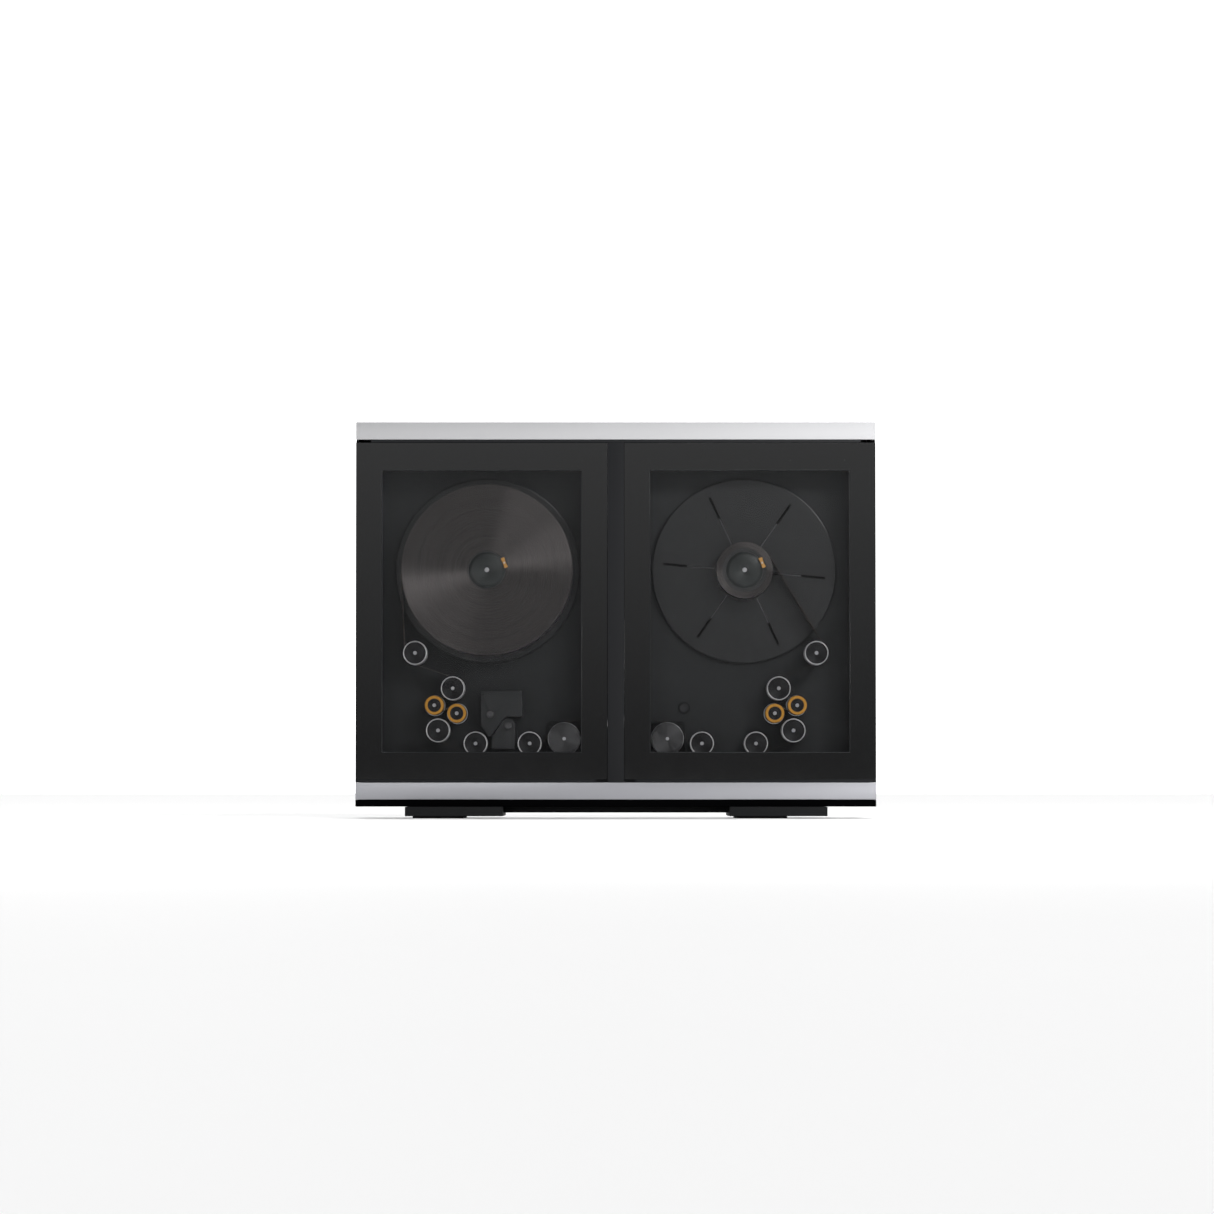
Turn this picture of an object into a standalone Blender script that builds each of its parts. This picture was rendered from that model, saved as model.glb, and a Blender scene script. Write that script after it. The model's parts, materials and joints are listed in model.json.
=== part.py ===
"""Cabinet film deck with two core reels: a flat cabinet on a low stand, two sliding glass doors,
a deck plate with two driven reels, two driven rollers and fourteen idlers, and the film threaded
between them over a curved gate. Metres, +Z up, front towards -Y, origin under the middle."""

import math

import bmesh
import bpy
from mathutils import Vector

for leftover in list(bpy.data.objects):
    bpy.data.objects.remove(leftover, do_unlink=True)

# Clearances
CLEAR = 0.0003  # between pieces that touch
RUN = 0.0006  # between pieces that slide past each other

# Cabinet
CABINET_WIDTH = 1.035
CABINET_DEPTH = 0.180
WALL = 0.003
CAP_HEIGHT = 0.035
BASE_HEIGHT = 0.0337
PLATE_HEIGHT = 0.0137
EDGE_ROUND = 0.0008

# Stand
FOOT_HEIGHT = 0.0186
FOOT_WIDTH = 0.1935
FOOT_DEPTH = 0.230
FOOT_X = {"left": -0.321, "right": 0.3225}
PAD_HEIGHT = 0.0041
PAD_WIDTH = 0.100
PAD_DEPTH = 0.200
PAD_INSET = 0.0145  # from the foot's left edge
BEAM_DEPTH = 0.060
BEAM_HEIGHT = 0.012

# Doors and tracks
GLASS_THICKNESS = 0.006
GLASS_HEIGHT = 0.6705
POST_WIDTH = 0.0324
LIP_HEIGHT = 0.0056
LIP_START = 0.039  # from the middle of the cabinet
LIP_FLANGE = 0.011
TRACK_HEIGHT = 0.0052
TRACK_LENGTH = 0.976
TRACK_DEPTH = 0.026
TRACK_FLANGE = 0.013
FLANGE_WALL = 0.0032
LOWER_TRACK_HEIGHT = 0.0087
LOWER_TRACK_DEPTH = 0.0065

# Deck plate
DECK_SETBACK = 0.060  # from the cabinet's front to the deck's face
DECK_THICKNESS = 0.004
DRIVE_PAD = 0.070
DRIVE_PAD_ROUND = 0.008
DRIVE_PAD_HEIGHT = 0.004

# Film
FILM_WIDTH = 0.035
FILM_THICKNESS = 0.0004
FILM_SETBACK = 0.0105  # from the deck's face to the film's rear edge
FILM_SIDE_GAP = 0.0005
FILM_CHORD_ERROR = 0.0001  # largest distance from a bend to the straight pieces that make it

# Reels
REEL_X = 0.257
REEL_Z = 0.495
PLATTER_RADIUS = 0.1847
PLATTER_THICKNESS = 0.005
SHAFT_RADIUS = 0.010
SHAFT_LENGTH = 0.025
CORE_BORE = 0.0368
PACK_RADIUS = {"feed": 0.171, "takeup": 0.0565}
GROOVE_COUNT = 6
GROOVE_START = 0.115
GROOVE_END = 0.163
GROOVE_WIDTH = 0.004
GROOVE_DEPTH = 0.0015
GROOVE_ANGLE = math.radians(55)
HUB_FACE_RADIUS = 0.028
HUB_PIN_RADIUS = 0.004
HUB_RISE = 0.0045  # face in front of the film
LEVER_OFFSET = 0.0375  # from the reel's axis
LEVER_ANGLE = math.radians(22)
LEVER_LENGTH = 0.021
LEVER_END_WIDTH = 0.008
LEVER_WAIST = 0.006
LEVER_THICKNESS = 0.0024
LEVER_PIN_RADIUS = 0.0014
LEVER_BOSS_RADIUS = 0.0036

# Rollers: distance from the middle of the cabinet, and height
IDLERS = {
    "roller_1": (0.4001, 0.3294),
    "roller_2": (0.3248, 0.2588),
    "clean_roller_1": (0.3616, 0.2250),
    "clean_roller_2": (0.3169, 0.2091),
    "roller_3": (0.3541, 0.1749),
    "roller_4": (0.2793, 0.1489),
    "roller_5": (0.1716, 0.1489),
}
DRIVE_AT = (0.1027, 0.1584)
SPINDLE_RADIUS = 0.0035
SPINDLE_SHOULDER = 0.007
SPINDLE_STICKS_IN = 0.002
FLANGE_RADIUS = 0.0238
FLANGE_THICKNESS = 0.0025
DISH_RADIUS = 0.0188
DISH_DEPTH = 0.0022
BARREL_RADIUS = 0.0205
CLEAN_RADIUS = 0.0188
CLEAN_DISH_RADIUS = 0.0131
CLEAN_FLANGE_RADIUS = 0.0208
DRIVE_RADIUS = 0.0315
DRIVE_DISC_RADIUS = 0.0326
DRIVE_SHAFT_RADIUS = 0.008

# Motors behind the deck
REEL_MOTOR_RADIUS = 0.045
REEL_MOTOR_LENGTH = 0.050
DRIVE_MOTOR_RADIUS = 0.029
DRIVE_MOTOR_LENGTH = 0.045

# Gate, lamp and camera
GATE_CREST = 0.206  # height of the film where it is scanned
GATE_CURVE = 0.150
GATE_WIDTH = 0.052
GATE_HEIGHT = 0.024
GATE_APERTURE = 0.025
LAMP_WIDTH = 0.060
LAMP_HEIGHT = 0.075
LENS_RADIUS = 0.022
LENS_LENGTH = 0.080
LENS_ABOVE_FILM = 0.045
CAMERA_WIDTH = 0.076
CAMERA_HEIGHT = 0.120

# Reader beside the feed side's last idlers
READER_LEFT = -0.2692
READER_RIGHT = -0.1861
READER_TOP = 0.2541
READER_STEP = 0.2028  # underside of the right arm
READER_TOE = 0.1644
READER_PLATE_RISE = 0.032  # from the deck
READER_BLOCK_RISE = 0.040
READER_PIVOT = (-0.2145, 0.1845)
READER_NOSE_RADIUS = 0.0142
READER_SLOT = 0.0015
READER_SLANT = math.radians(54)
READER_BLOCK_FOOT = 0.1384
READER_KNOB_AT = (-0.2505, 0.2075)
KNOB_RADIUS = 0.0075
KNOB_LENGTH = 0.008
KNOB_STUD_RADIUS = 0.0025
KNOB_STUD_LENGTH = 0.010

# Button on the take-up side
BUTTON_AT = (0.1372, 0.2209)
BUTTON_RADIUS = 0.0088
BUTTON_RISE = 0.005
BEZEL_RADIUS = 0.0115
BEZEL_RISE = 0.0035

# Electronics and rear panel
BOARD_SIZE = (0.300, 0.0016, 0.140)
BOARD_GAP = 0.016  # from the deck's back to the board
BOARD_Z = 0.650
STANDOFF_RADIUS = 0.004
SUPPLY_SIZE = (0.200, 0.055, 0.100)
SUPPLY_AT = (0.0, 0.300)
VENT_COUNT = 8
VENT_SLOT = (0.120, 0.0035)
VENT_PITCH = 0.010
VENT_AT = (0.257, 0.600)
INLET_FLANGE = (0.050, 0.028)
INLET_BODY = (0.045, 0.022)
INLET_LENGTH = 0.030
INLET_SOCKET = (0.025, 0.016)
INLET_SOCKET_DEPTH = 0.018
INLET_FLANGE_THICKNESS = 0.002
INLET_AT = (0.380, 0.130)

ROUND = 64  # sides of the reels
SMALL_ROUND = 20  # sides of the rollers
PIN_ROUND = 12
WELD = 0.000002  # closes a turned shape on itself

# Levels, from the floor up
foot_z = PAD_HEIGHT + CLEAR
plate_z = foot_z + FOOT_HEIGHT + CLEAR
base_z = plate_z + PLATE_HEIGHT + CLEAR
base_top = base_z + BASE_HEIGHT
lip_z = base_top + RUN
glass_z = lip_z + LIP_HEIGHT + CLEAR
glass_top = glass_z + GLASS_HEIGHT
track_z = glass_top + RUN
cap_z = track_z + TRACK_HEIGHT + CLEAR
cap_top = cap_z + CAP_HEIGHT

# Depths, from the front back
front = -CABINET_DEPTH / 2
glass_back = front + GLASS_THICKNESS
back = CABINET_DEPTH / 2
deck_face = front + DECK_SETBACK
deck_back = deck_face + DECK_THICKNESS
film_rear = deck_face - FILM_SETBACK
film_front = film_rear - FILM_WIDTH
half_width = CABINET_WIDTH / 2


def finish(name, colour, roughness, metallic):
    material = bpy.data.materials.new(name)
    material.use_nodes = True
    shader = material.node_tree.nodes["Principled BSDF"]
    shader.inputs["Base Color"].default_value = (*colour, 1)
    shader.inputs["Roughness"].default_value = roughness
    shader.inputs["Metallic"].default_value = metallic
    return material


satin_silver = finish("satin_silver", (0.62, 0.62, 0.64), 0.35, 0.9)
bright_steel = finish("bright_steel", (0.70, 0.70, 0.72), 0.2, 1.0)
black_metal = finish("black_metal", (0.02, 0.02, 0.022), 0.45, 0.6)
charcoal_deck = finish("charcoal_deck", (0.045, 0.048, 0.052), 0.5, 0.4)
tinted_glass = finish("tinted_glass", (0.03, 0.032, 0.035), 0.05, 0.0)
black_rubber = finish("black_rubber", (0.015, 0.015, 0.015), 0.8, 0.0)
orange_polymer = finish("orange_polymer", (0.75, 0.20, 0.04), 0.45, 0.0)
wound_film = finish("wound_film", (0.16, 0.13, 0.11), 0.35, 0.0)
green_board = finish("green_board", (0.02, 0.16, 0.07), 0.5, 0.0)
lens_black = finish("lens_black", (0.01, 0.01, 0.012), 0.3, 0.2)


def add_box(shape, low, high):
    """One closed box between two corners."""
    made = bmesh.ops.create_cube(shape, size=1)["verts"]
    size = Vector(high) - Vector(low)
    bmesh.ops.scale(shape, vec=size, verts=made)
    bmesh.ops.translate(shape, vec=Vector(low) + size / 2, verts=made)


def add_extrusion(shape, outline, start, reach, lift):
    """A closed outline of 2-D points, turned to 3-D by lift, extruded by the vector reach."""
    corners = [shape.verts.new(Vector(lift(*point)) + Vector(start)) for point in outline]
    face = shape.faces.new(corners)
    made = bmesh.ops.extrude_face_region(shape, geom=[face])["geom"]
    moved = [item for item in made if isinstance(item, bmesh.types.BMVert)]
    bmesh.ops.translate(shape, vec=reach, verts=moved)


def add_slab(shape, outline, y_near, y_far):
    """An outline seen from the front, in x and z, between two depths."""
    add_extrusion(shape, outline, (0, y_near, 0), (0, y_far - y_near, 0), lambda x, z: (x, 0, z))


def add_bar(shape, section, x_left, x_right):
    """A section in y and z, run along X."""
    add_extrusion(shape, section, (x_left, 0, 0), (x_right - x_left, 0, 0), lambda y, z: (0, y, z))


def add_turned(shape, profile, at=(0, 0), sides=SMALL_ROUND):
    """A profile of (radius, y) points spun about an axis along Y through at = (x, z).
    A profile that starts off the axis is closed back to its first point."""
    others = set(shape.verts)
    points = [shape.verts.new((radius, y, 0)) for radius, y in profile]
    ends = points[1:] + points[:1] if profile[0][0] > 0 else points[1:]
    edges = [shape.edges.new(pair) for pair in zip(points, ends)]
    bmesh.ops.spin(
        shape, geom=points + edges, cent=(0, 0, 0), axis=(0, 1, 0), angle=2 * math.pi, steps=sides,
    )
    fresh = [vert for vert in shape.verts if vert not in others]
    bmesh.ops.remove_doubles(shape, verts=fresh, dist=WELD)
    fresh = [vert for vert in shape.verts if vert not in others]
    bmesh.ops.translate(shape, vec=(at[0], 0, at[1]), verts=fresh)


def add_rod(shape, at, radius, y_near, y_far, sides=PIN_ROUND):
    add_turned(shape, [(0, y_near), (radius, y_near), (radius, y_far), (0, y_far)], at, sides)


def arc(centre, radius, start, end, steps):
    angles = [start + (end - start) * step / steps for step in range(steps + 1)]
    return [(centre[0] + radius * math.cos(a), centre[1] + radius * math.sin(a)) for a in angles]


def rounded(centre, width, height, radius, steps=3):
    """Outline of a rectangle with round corners."""
    outline = []
    for turn, (side, rise) in enumerate(((1, 1), (-1, 1), (-1, -1), (1, -1))):
        corner = (centre[0] + side * (width / 2 - radius), centre[1] + rise * (height / 2 - radius))
        outline += arc(corner, radius, turn * math.pi / 2, (turn + 1) * math.pi / 2, steps)
    return outline


def as_object(name, shape, at=(0, 0)):
    """The shape as a named object whose origin is on the Y axis line through at."""
    bmesh.ops.recalc_face_normals(shape, faces=shape.faces[:])
    bmesh.ops.translate(shape, vec=(-at[0], 0, -at[1]), verts=shape.verts[:])
    mesh = bpy.data.meshes.new(name)
    shape.to_mesh(mesh)
    shape.free()
    made = bpy.data.objects.new(name, mesh)
    made.location = (at[0], 0, at[1])
    bpy.context.scene.collection.objects.link(made)
    return made


def piece(name, shape, material, at=(0, 0), smooth=False, edge_round=0):
    made = as_object(name, shape, at)
    made.data.materials.append(material)
    if smooth:
        made.data.shade_smooth()
        made.data.set_sharp_from_angle(angle=math.radians(35))
    if edge_round:
        bevel = made.modifiers.new("edge_round", "BEVEL")
        bevel.width = edge_round
        bevel.segments = 1
        bevel.limit_method = "ANGLE"
    return made


def combine(target, operation, shape):
    """Joins a shape to the target, or cuts it away, with a Boolean."""
    tool = as_object(f"{target.name}_{operation.lower()}", shape)
    tool.hide_render = True
    tool.display_type = "WIRE"
    step = target.modifiers.new(operation.lower(), "BOOLEAN")
    step.operation = operation
    step.object = tool


def block(name, low, high, material, edge_round=0):
    shape = bmesh.new()
    add_box(shape, low, high)
    return piece(name, shape, material, edge_round=edge_round)


def sides():
    """Each side of the deck, with its sign along X."""
    return (("feed", -1), ("takeup", 1))


def stand():
    for side, middle in FOOT_X.items():
        left = middle - FOOT_WIDTH / 2
        block(
            f"foot_{side}", (left, -FOOT_DEPTH / 2, foot_z),
            (left + FOOT_WIDTH, FOOT_DEPTH / 2, foot_z + FOOT_HEIGHT), black_metal, EDGE_ROUND,
        )
        block(
            f"pad_{side}", (left + PAD_INSET, -PAD_DEPTH / 2, 0),
            (left + PAD_INSET + PAD_WIDTH, PAD_DEPTH / 2, PAD_HEIGHT), black_rubber,
        )
    beam_top = foot_z + FOOT_HEIGHT
    block(
        "stand_beam",
        (FOOT_X["left"] + FOOT_WIDTH / 2 + CLEAR, -BEAM_DEPTH / 2, beam_top - BEAM_HEIGHT),
        (FOOT_X["right"] - FOOT_WIDTH / 2 - CLEAR, BEAM_DEPTH / 2, beam_top), black_metal,
    )


def upturned_tray(name, low, high, material):
    """A shell with a top and four sides, open underneath."""
    tray = block(name, low, high, material)
    hollow = bmesh.new()
    add_box(
        hollow, (low[0] + WALL, low[1] + WALL, low[2] - WALL),
        (high[0] - WALL, high[1] - WALL, high[2] - WALL),
    )
    combine(tray, "DIFFERENCE", hollow)


def cabinet():
    block(
        "bottom_plate", (-half_width, front, plate_z), (half_width, back, plate_z + PLATE_HEIGHT),
        black_metal, EDGE_ROUND,
    )
    upturned_tray("base_strip", (-half_width, front, base_z), (half_width, back, base_top), satin_silver)
    upturned_tray("top_cap", (-half_width, front, cap_z), (half_width, back, cap_top), satin_silver)
    panel_front = lip_rear + RUN
    for side, sign in (("left", -1), ("right", 1)):
        near, far = sorted((sign * half_width, sign * (half_width - WALL)))
        block(
            f"side_panel_{side}", (near, panel_front, base_top + CLEAR),
            (far, back - WALL - CLEAR, cap_z - CLEAR), black_metal,
        )
    rear = block(
        "rear_cover", (-half_width, back - WALL, base_top + CLEAR), (half_width, back, cap_z - CLEAR),
        black_metal,
    )
    cuts = bmesh.new()
    for sign in (-1, 1):
        for row in range(VENT_COUNT):
            middle = VENT_AT[1] + (row - (VENT_COUNT - 1) / 2) * VENT_PITCH
            add_box(
                cuts, (sign * VENT_AT[0] - VENT_SLOT[0] / 2, back - 2 * WALL, middle - VENT_SLOT[1] / 2),
                (sign * VENT_AT[0] + VENT_SLOT[0] / 2, back + WALL, middle + VENT_SLOT[1] / 2),
            )
    reach = (INLET_BODY[0] / 2 + CLEAR, INLET_BODY[1] / 2 + CLEAR)
    add_box(
        cuts, (INLET_AT[0] - reach[0], back - 2 * WALL, INLET_AT[1] - reach[1]),
        (INLET_AT[0] + reach[0], back + WALL, INLET_AT[1] + reach[1]),
    )
    combine(rear, "DIFFERENCE", cuts)


# The door's lower rail has a lip under the glass and a flange behind it
lip_rear = glass_back + CLEAR + FLANGE_WALL


def doors():
    block(
        "centre_post", (-POST_WIDTH / 2, front, base_top + CLEAR),
        (POST_WIDTH / 2, glass_back, track_z - CLEAR), black_metal,
    )
    rail_section = [
        (front, lip_z), (lip_rear, lip_z), (lip_rear, glass_z + LIP_FLANGE),
        (glass_back + CLEAR, glass_z + LIP_FLANGE), (glass_back + CLEAR, lip_z + LIP_HEIGHT),
        (front, lip_z + LIP_HEIGHT),
    ]
    for side, sign in (("left", -1), ("right", 1)):
        near, far = sorted((sign * (POST_WIDTH / 2 + RUN), sign * half_width))
        block(
            f"{side}_door_glass", (near, front, glass_z), (far, glass_back, glass_top), tinted_glass,
        )
        near, far = sorted((sign * LIP_START, sign * half_width))
        rail = bmesh.new()
        add_bar(rail, rail_section, near, far)
        piece(f"{side}_door_rail", rail, black_metal)


def tracks():
    guide_near = glass_back + CLEAR
    guide_far = guide_near + FLANGE_WALL
    section = [
        (guide_far - TRACK_DEPTH / 2, track_z), (guide_near, track_z),
        (guide_near, track_z - TRACK_FLANGE), (guide_far, track_z - TRACK_FLANGE),
        (guide_far, track_z), (guide_far + TRACK_DEPTH / 2, track_z),
        (guide_far + TRACK_DEPTH / 2, track_z + TRACK_HEIGHT),
        (guide_far - TRACK_DEPTH / 2, track_z + TRACK_HEIGHT),
    ]
    upper = bmesh.new()
    add_bar(upper, [(max(y, front + CLEAR), z) for y, z in section], -TRACK_LENGTH / 2, TRACK_LENGTH / 2)
    piece("top_track", upper, black_metal)
    lower_y = lip_rear + RUN
    block(
        "bottom_track", (-TRACK_LENGTH / 2, lower_y, base_top + CLEAR),
        (TRACK_LENGTH / 2, lower_y + LOWER_TRACK_DEPTH, base_top + CLEAR + LOWER_TRACK_HEIGHT),
        bright_steel,
    )


# The roller stack, front to back
flange_front = film_front - FILM_SIDE_GAP
flange_rear = film_rear + FILM_SIDE_GAP
roller_front = flange_front - FLANGE_THICKNESS
roller_rear = flange_rear + FLANGE_THICKNESS


def deck_plate():
    deck = block(
        "deck_plate", (-half_width + WALL + CLEAR, deck_face, base_top + CLEAR),
        (half_width - WALL - CLEAR, deck_back, cap_z - CLEAR), charcoal_deck,
    )
    fitted = bmesh.new()
    for _, sign in sides():
        for distance, height in IDLERS.values():
            spindle = [
                (0, roller_front), (SPINDLE_RADIUS, roller_front),
                (SPINDLE_RADIUS, roller_rear + CLEAR), (SPINDLE_SHOULDER, roller_rear + CLEAR),
                (SPINDLE_SHOULDER, deck_face + SPINDLE_STICKS_IN), (0, deck_face + SPINDLE_STICKS_IN),
            ]
            add_turned(fitted, spindle, (sign * distance, height), PIN_ROUND)
        pad = rounded((sign * DRIVE_AT[0], DRIVE_AT[1]), DRIVE_PAD, DRIVE_PAD, DRIVE_PAD_ROUND)
        add_slab(fitted, pad, deck_face - DRIVE_PAD_HEIGHT, deck_face + SPINDLE_STICKS_IN)
    bezel_front, bezel_root = deck_face - BEZEL_RISE, deck_face + SPINDLE_STICKS_IN
    add_rod(fitted, BUTTON_AT, BEZEL_RADIUS, bezel_front, bezel_root, SMALL_ROUND)
    combine(deck, "UNION", fitted)
    holes = bmesh.new()
    near, far = deck_face - 2 * DRIVE_PAD_HEIGHT, deck_back + DRIVE_PAD_HEIGHT
    for _, sign in sides():
        add_rod(holes, (sign * REEL_X, REEL_Z), SHAFT_RADIUS + CLEAR, near, far, SMALL_ROUND)
        add_rod(holes, (sign * DRIVE_AT[0], DRIVE_AT[1]), DRIVE_SHAFT_RADIUS + CLEAR, near, far, SMALL_ROUND)
    add_rod(holes, BUTTON_AT, BUTTON_RADIUS + CLEAR, near, far, SMALL_ROUND)
    combine(deck, "DIFFERENCE", holes)


def reels():
    platter_front = film_rear + CLEAR
    platter_back = platter_front + PLATTER_THICKNESS
    hub_face = film_front - HUB_RISE
    ear_front = hub_face + CLEAR
    lever_back = hub_face - CLEAR
    for side, sign in sides():
        at = (sign * REEL_X, REEL_Z)
        platter = bmesh.new()
        add_turned(
            platter,
            [
                (0, platter_front), (PLATTER_RADIUS, platter_front), (PLATTER_RADIUS, platter_back),
                (SHAFT_RADIUS, platter_back), (SHAFT_RADIUS, platter_back + SHAFT_LENGTH),
                (0, platter_back + SHAFT_LENGTH),
            ],
            at, ROUND,
        )
        disc = piece(f"{side}_platter", platter, black_metal, at, smooth=True)
        grooves = bmesh.new()
        for step in range(GROOVE_COUNT):
            angle = GROOVE_ANGLE + step * 2 * math.pi / GROOVE_COUNT
            along = Vector((math.cos(angle), math.sin(angle)))
            across = Vector((-along.y, along.x)) * GROOVE_WIDTH / 2
            start = Vector(at) + along * GROOVE_START
            end = Vector(at) + along * GROOVE_END
            outline = [start - across, end - across, end + across, start + across]
            add_slab(grooves, outline, platter_front - GROOVE_DEPTH, platter_front + GROOVE_DEPTH)
        combine(disc, "DIFFERENCE", grooves)

        pack = bmesh.new()
        radius = PACK_RADIUS[side]
        add_turned(
            pack,
            [(CORE_BORE, film_front), (radius, film_front), (radius, film_rear), (CORE_BORE, film_rear)],
            at, ROUND,
        )
        piece(f"{side}_film_pack", pack, wound_film, at, smooth=True)

        hub_radius = CORE_BORE - CLEAR
        slope_back = film_front - CLEAR
        hub = bmesh.new()
        add_turned(
            hub,
            [
                (0, hub_face - CLEAR), (HUB_PIN_RADIUS, hub_face - CLEAR), (HUB_PIN_RADIUS, hub_face),
                (HUB_FACE_RADIUS, hub_face), (hub_radius, slope_back), (hub_radius, film_rear),
                (0, film_rear),
            ],
            at, ROUND // 2,
        )
        turned_hub = piece(f"{side}_hub", hub, black_metal, at, smooth=True)
        outward = Vector((math.cos(LEVER_ANGLE), math.sin(LEVER_ANGLE)))
        tangent = Vector((-outward.y, outward.x))
        lever_at = Vector(at) + LEVER_OFFSET * outward
        inner = lever_at - outward * (LEVER_OFFSET - HUB_FACE_RADIUS + LEVER_BOSS_RADIUS)
        ear = arc(
            lever_at, LEVER_BOSS_RADIUS, LEVER_ANGLE - math.pi / 2, LEVER_ANGLE + math.pi / 2, 8,
        )
        ear += [inner + tangent * LEVER_BOSS_RADIUS, inner - tangent * LEVER_BOSS_RADIUS]
        boss = bmesh.new()
        add_slab(boss, ear, ear_front, film_front - 2 * CLEAR)
        combine(turned_hub, "UNION", boss)
        pin = bmesh.new()
        add_rod(pin, lever_at, LEVER_PIN_RADIUS, lever_back - LEVER_THICKNESS, ear_front + 2 * CLEAR)
        combine(turned_hub, "UNION", pin)

        lever = bmesh.new()
        half, wide, waist = LEVER_LENGTH / 2, LEVER_END_WIDTH / 2, LEVER_WAIST / 2
        outline = [
            lever_at + tangent * t + outward * o
            for t, o in (
                (-half, -wide), (-half, wide), (0, waist), (half, wide), (half, -wide), (0, -waist),
            )
        ]
        add_slab(lever, outline, lever_back - LEVER_THICKNESS, lever_back)
        handle = piece(f"{side}_core_lever", lever, orange_polymer, tuple(lever_at))
        bore = bmesh.new()
        reach = 2 * LEVER_THICKNESS
        add_rod(bore, lever_at, LEVER_PIN_RADIUS + CLEAR, lever_back - reach, lever_back + reach)
        combine(handle, "DIFFERENCE", bore)


def rollers():
    bore = SPINDLE_RADIUS + CLEAR
    plain = [
        (bore, roller_front + DISH_DEPTH), (DISH_RADIUS, roller_front + DISH_DEPTH),
        (DISH_RADIUS, roller_front), (FLANGE_RADIUS, roller_front), (FLANGE_RADIUS, flange_front),
        (BARREL_RADIUS, flange_front), (BARREL_RADIUS, flange_rear), (FLANGE_RADIUS, flange_rear),
        (FLANGE_RADIUS, roller_rear), (bore, roller_rear),
    ]
    clean = [
        (bore, roller_front + DISH_DEPTH), (CLEAN_DISH_RADIUS, roller_front + DISH_DEPTH),
        (CLEAN_DISH_RADIUS, roller_front), (CLEAN_RADIUS, roller_front), (CLEAN_RADIUS, flange_rear),
        (CLEAN_FLANGE_RADIUS, flange_rear), (CLEAN_FLANGE_RADIUS, roller_rear), (bore, roller_rear),
    ]
    shaft_end = roller_rear + SHAFT_LENGTH
    drive = [
        (0, roller_front), (DRIVE_DISC_RADIUS, roller_front), (DRIVE_DISC_RADIUS, flange_front),
        (DRIVE_RADIUS, flange_front), (DRIVE_RADIUS, flange_rear), (DRIVE_DISC_RADIUS, flange_rear),
        (DRIVE_DISC_RADIUS, roller_rear), (DRIVE_SHAFT_RADIUS, roller_rear),
        (DRIVE_SHAFT_RADIUS, shaft_end), (0, shaft_end),
    ]
    for side, sign in sides():
        for name, (distance, height) in IDLERS.items():
            cleans = name.startswith("clean")
            at = (sign * distance, height)
            shape = bmesh.new()
            add_turned(shape, clean if cleans else plain, at)
            piece(f"{side}_{name}", shape, orange_polymer if cleans else bright_steel, at, smooth=True)
        at = (sign * DRIVE_AT[0], DRIVE_AT[1])
        shape = bmesh.new()
        add_turned(shape, drive, at, ROUND // 2)
        piece(f"{side}_drive_roller", shape, black_metal, at, smooth=True)


def motors():
    """Round motors on the deck's back, each bored for the shaft that it turns."""
    sizes = {
        "reel_motor": (
            (REEL_X, REEL_Z), REEL_MOTOR_RADIUS, REEL_MOTOR_LENGTH, SHAFT_RADIUS,
            film_rear + CLEAR + PLATTER_THICKNESS + SHAFT_LENGTH,
        ),
        "drive_motor": (
            DRIVE_AT, DRIVE_MOTOR_RADIUS, DRIVE_MOTOR_LENGTH, DRIVE_SHAFT_RADIUS,
            roller_rear + SHAFT_LENGTH,
        ),
    }
    near = deck_back + CLEAR
    for side, sign in sides():
        for name, (place, radius, length, shaft, shaft_end) in sizes.items():
            at = (sign * place[0], place[1])
            shape = bmesh.new()
            add_turned(
                shape,
                [
                    (0, shaft_end + CLEAR), (shaft + CLEAR, shaft_end + CLEAR), (shaft + CLEAR, near),
                    (radius, near), (radius, near + length), (0, near + length),
                ],
                at, SMALL_ROUND,
            )
            piece(f"{side}_{name}", shape, black_metal, at, smooth=True)


def optics():
    """A curved skid with an aperture, a lamp under it, and a lens and camera above it."""
    optics_front = film_front - FILM_SIDE_GAP - FLANGE_THICKNESS
    optics_back = deck_face - CLEAR
    skid_top = GATE_CREST - FILM_THICKNESS / 2 - CLEAR
    centre = (0, skid_top - GATE_CURVE)
    spread = math.asin(GATE_WIDTH / 2 / GATE_CURVE)
    crown = arc(centre, GATE_CURVE, math.pi / 2 - spread, math.pi / 2 + spread, 12)
    foot = skid_top - GATE_HEIGHT
    skid = bmesh.new()
    add_slab(skid, [(GATE_WIDTH / 2, foot), *crown, (-GATE_WIDTH / 2, foot)], optics_front, optics_back)
    gate = piece("film_gate", skid, bright_steel)
    middle_y = (film_front + film_rear) / 2
    hole = bmesh.new()
    half = GATE_APERTURE / 2
    add_box(hole, (-half, middle_y - half, foot - WALL), (half, middle_y + half, skid_top + WALL))
    combine(gate, "DIFFERENCE", hole)
    lamp_top = foot - CLEAR
    block(
        "lamp_house", (-LAMP_WIDTH / 2, optics_front, lamp_top - LAMP_HEIGHT),
        (LAMP_WIDTH / 2, optics_back, lamp_top), black_metal, EDGE_ROUND,
    )
    lens_z = GATE_CREST + LENS_ABOVE_FILM
    lens = bmesh.new()
    bmesh.ops.create_cone(
        lens, cap_ends=True, segments=SMALL_ROUND, radius1=LENS_RADIUS, radius2=LENS_RADIUS,
        depth=LENS_LENGTH,
    )
    bmesh.ops.translate(lens, vec=(0, middle_y, lens_z + LENS_LENGTH / 2), verts=lens.verts[:])
    piece("camera_lens", lens, lens_black, smooth=True)
    camera_z = lens_z + LENS_LENGTH + CLEAR
    block(
        "scan_camera", (-CAMERA_WIDTH / 2, optics_front, camera_z),
        (CAMERA_WIDTH / 2, optics_back, camera_z + CAMERA_HEIGHT), black_metal, EDGE_ROUND,
    )


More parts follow.
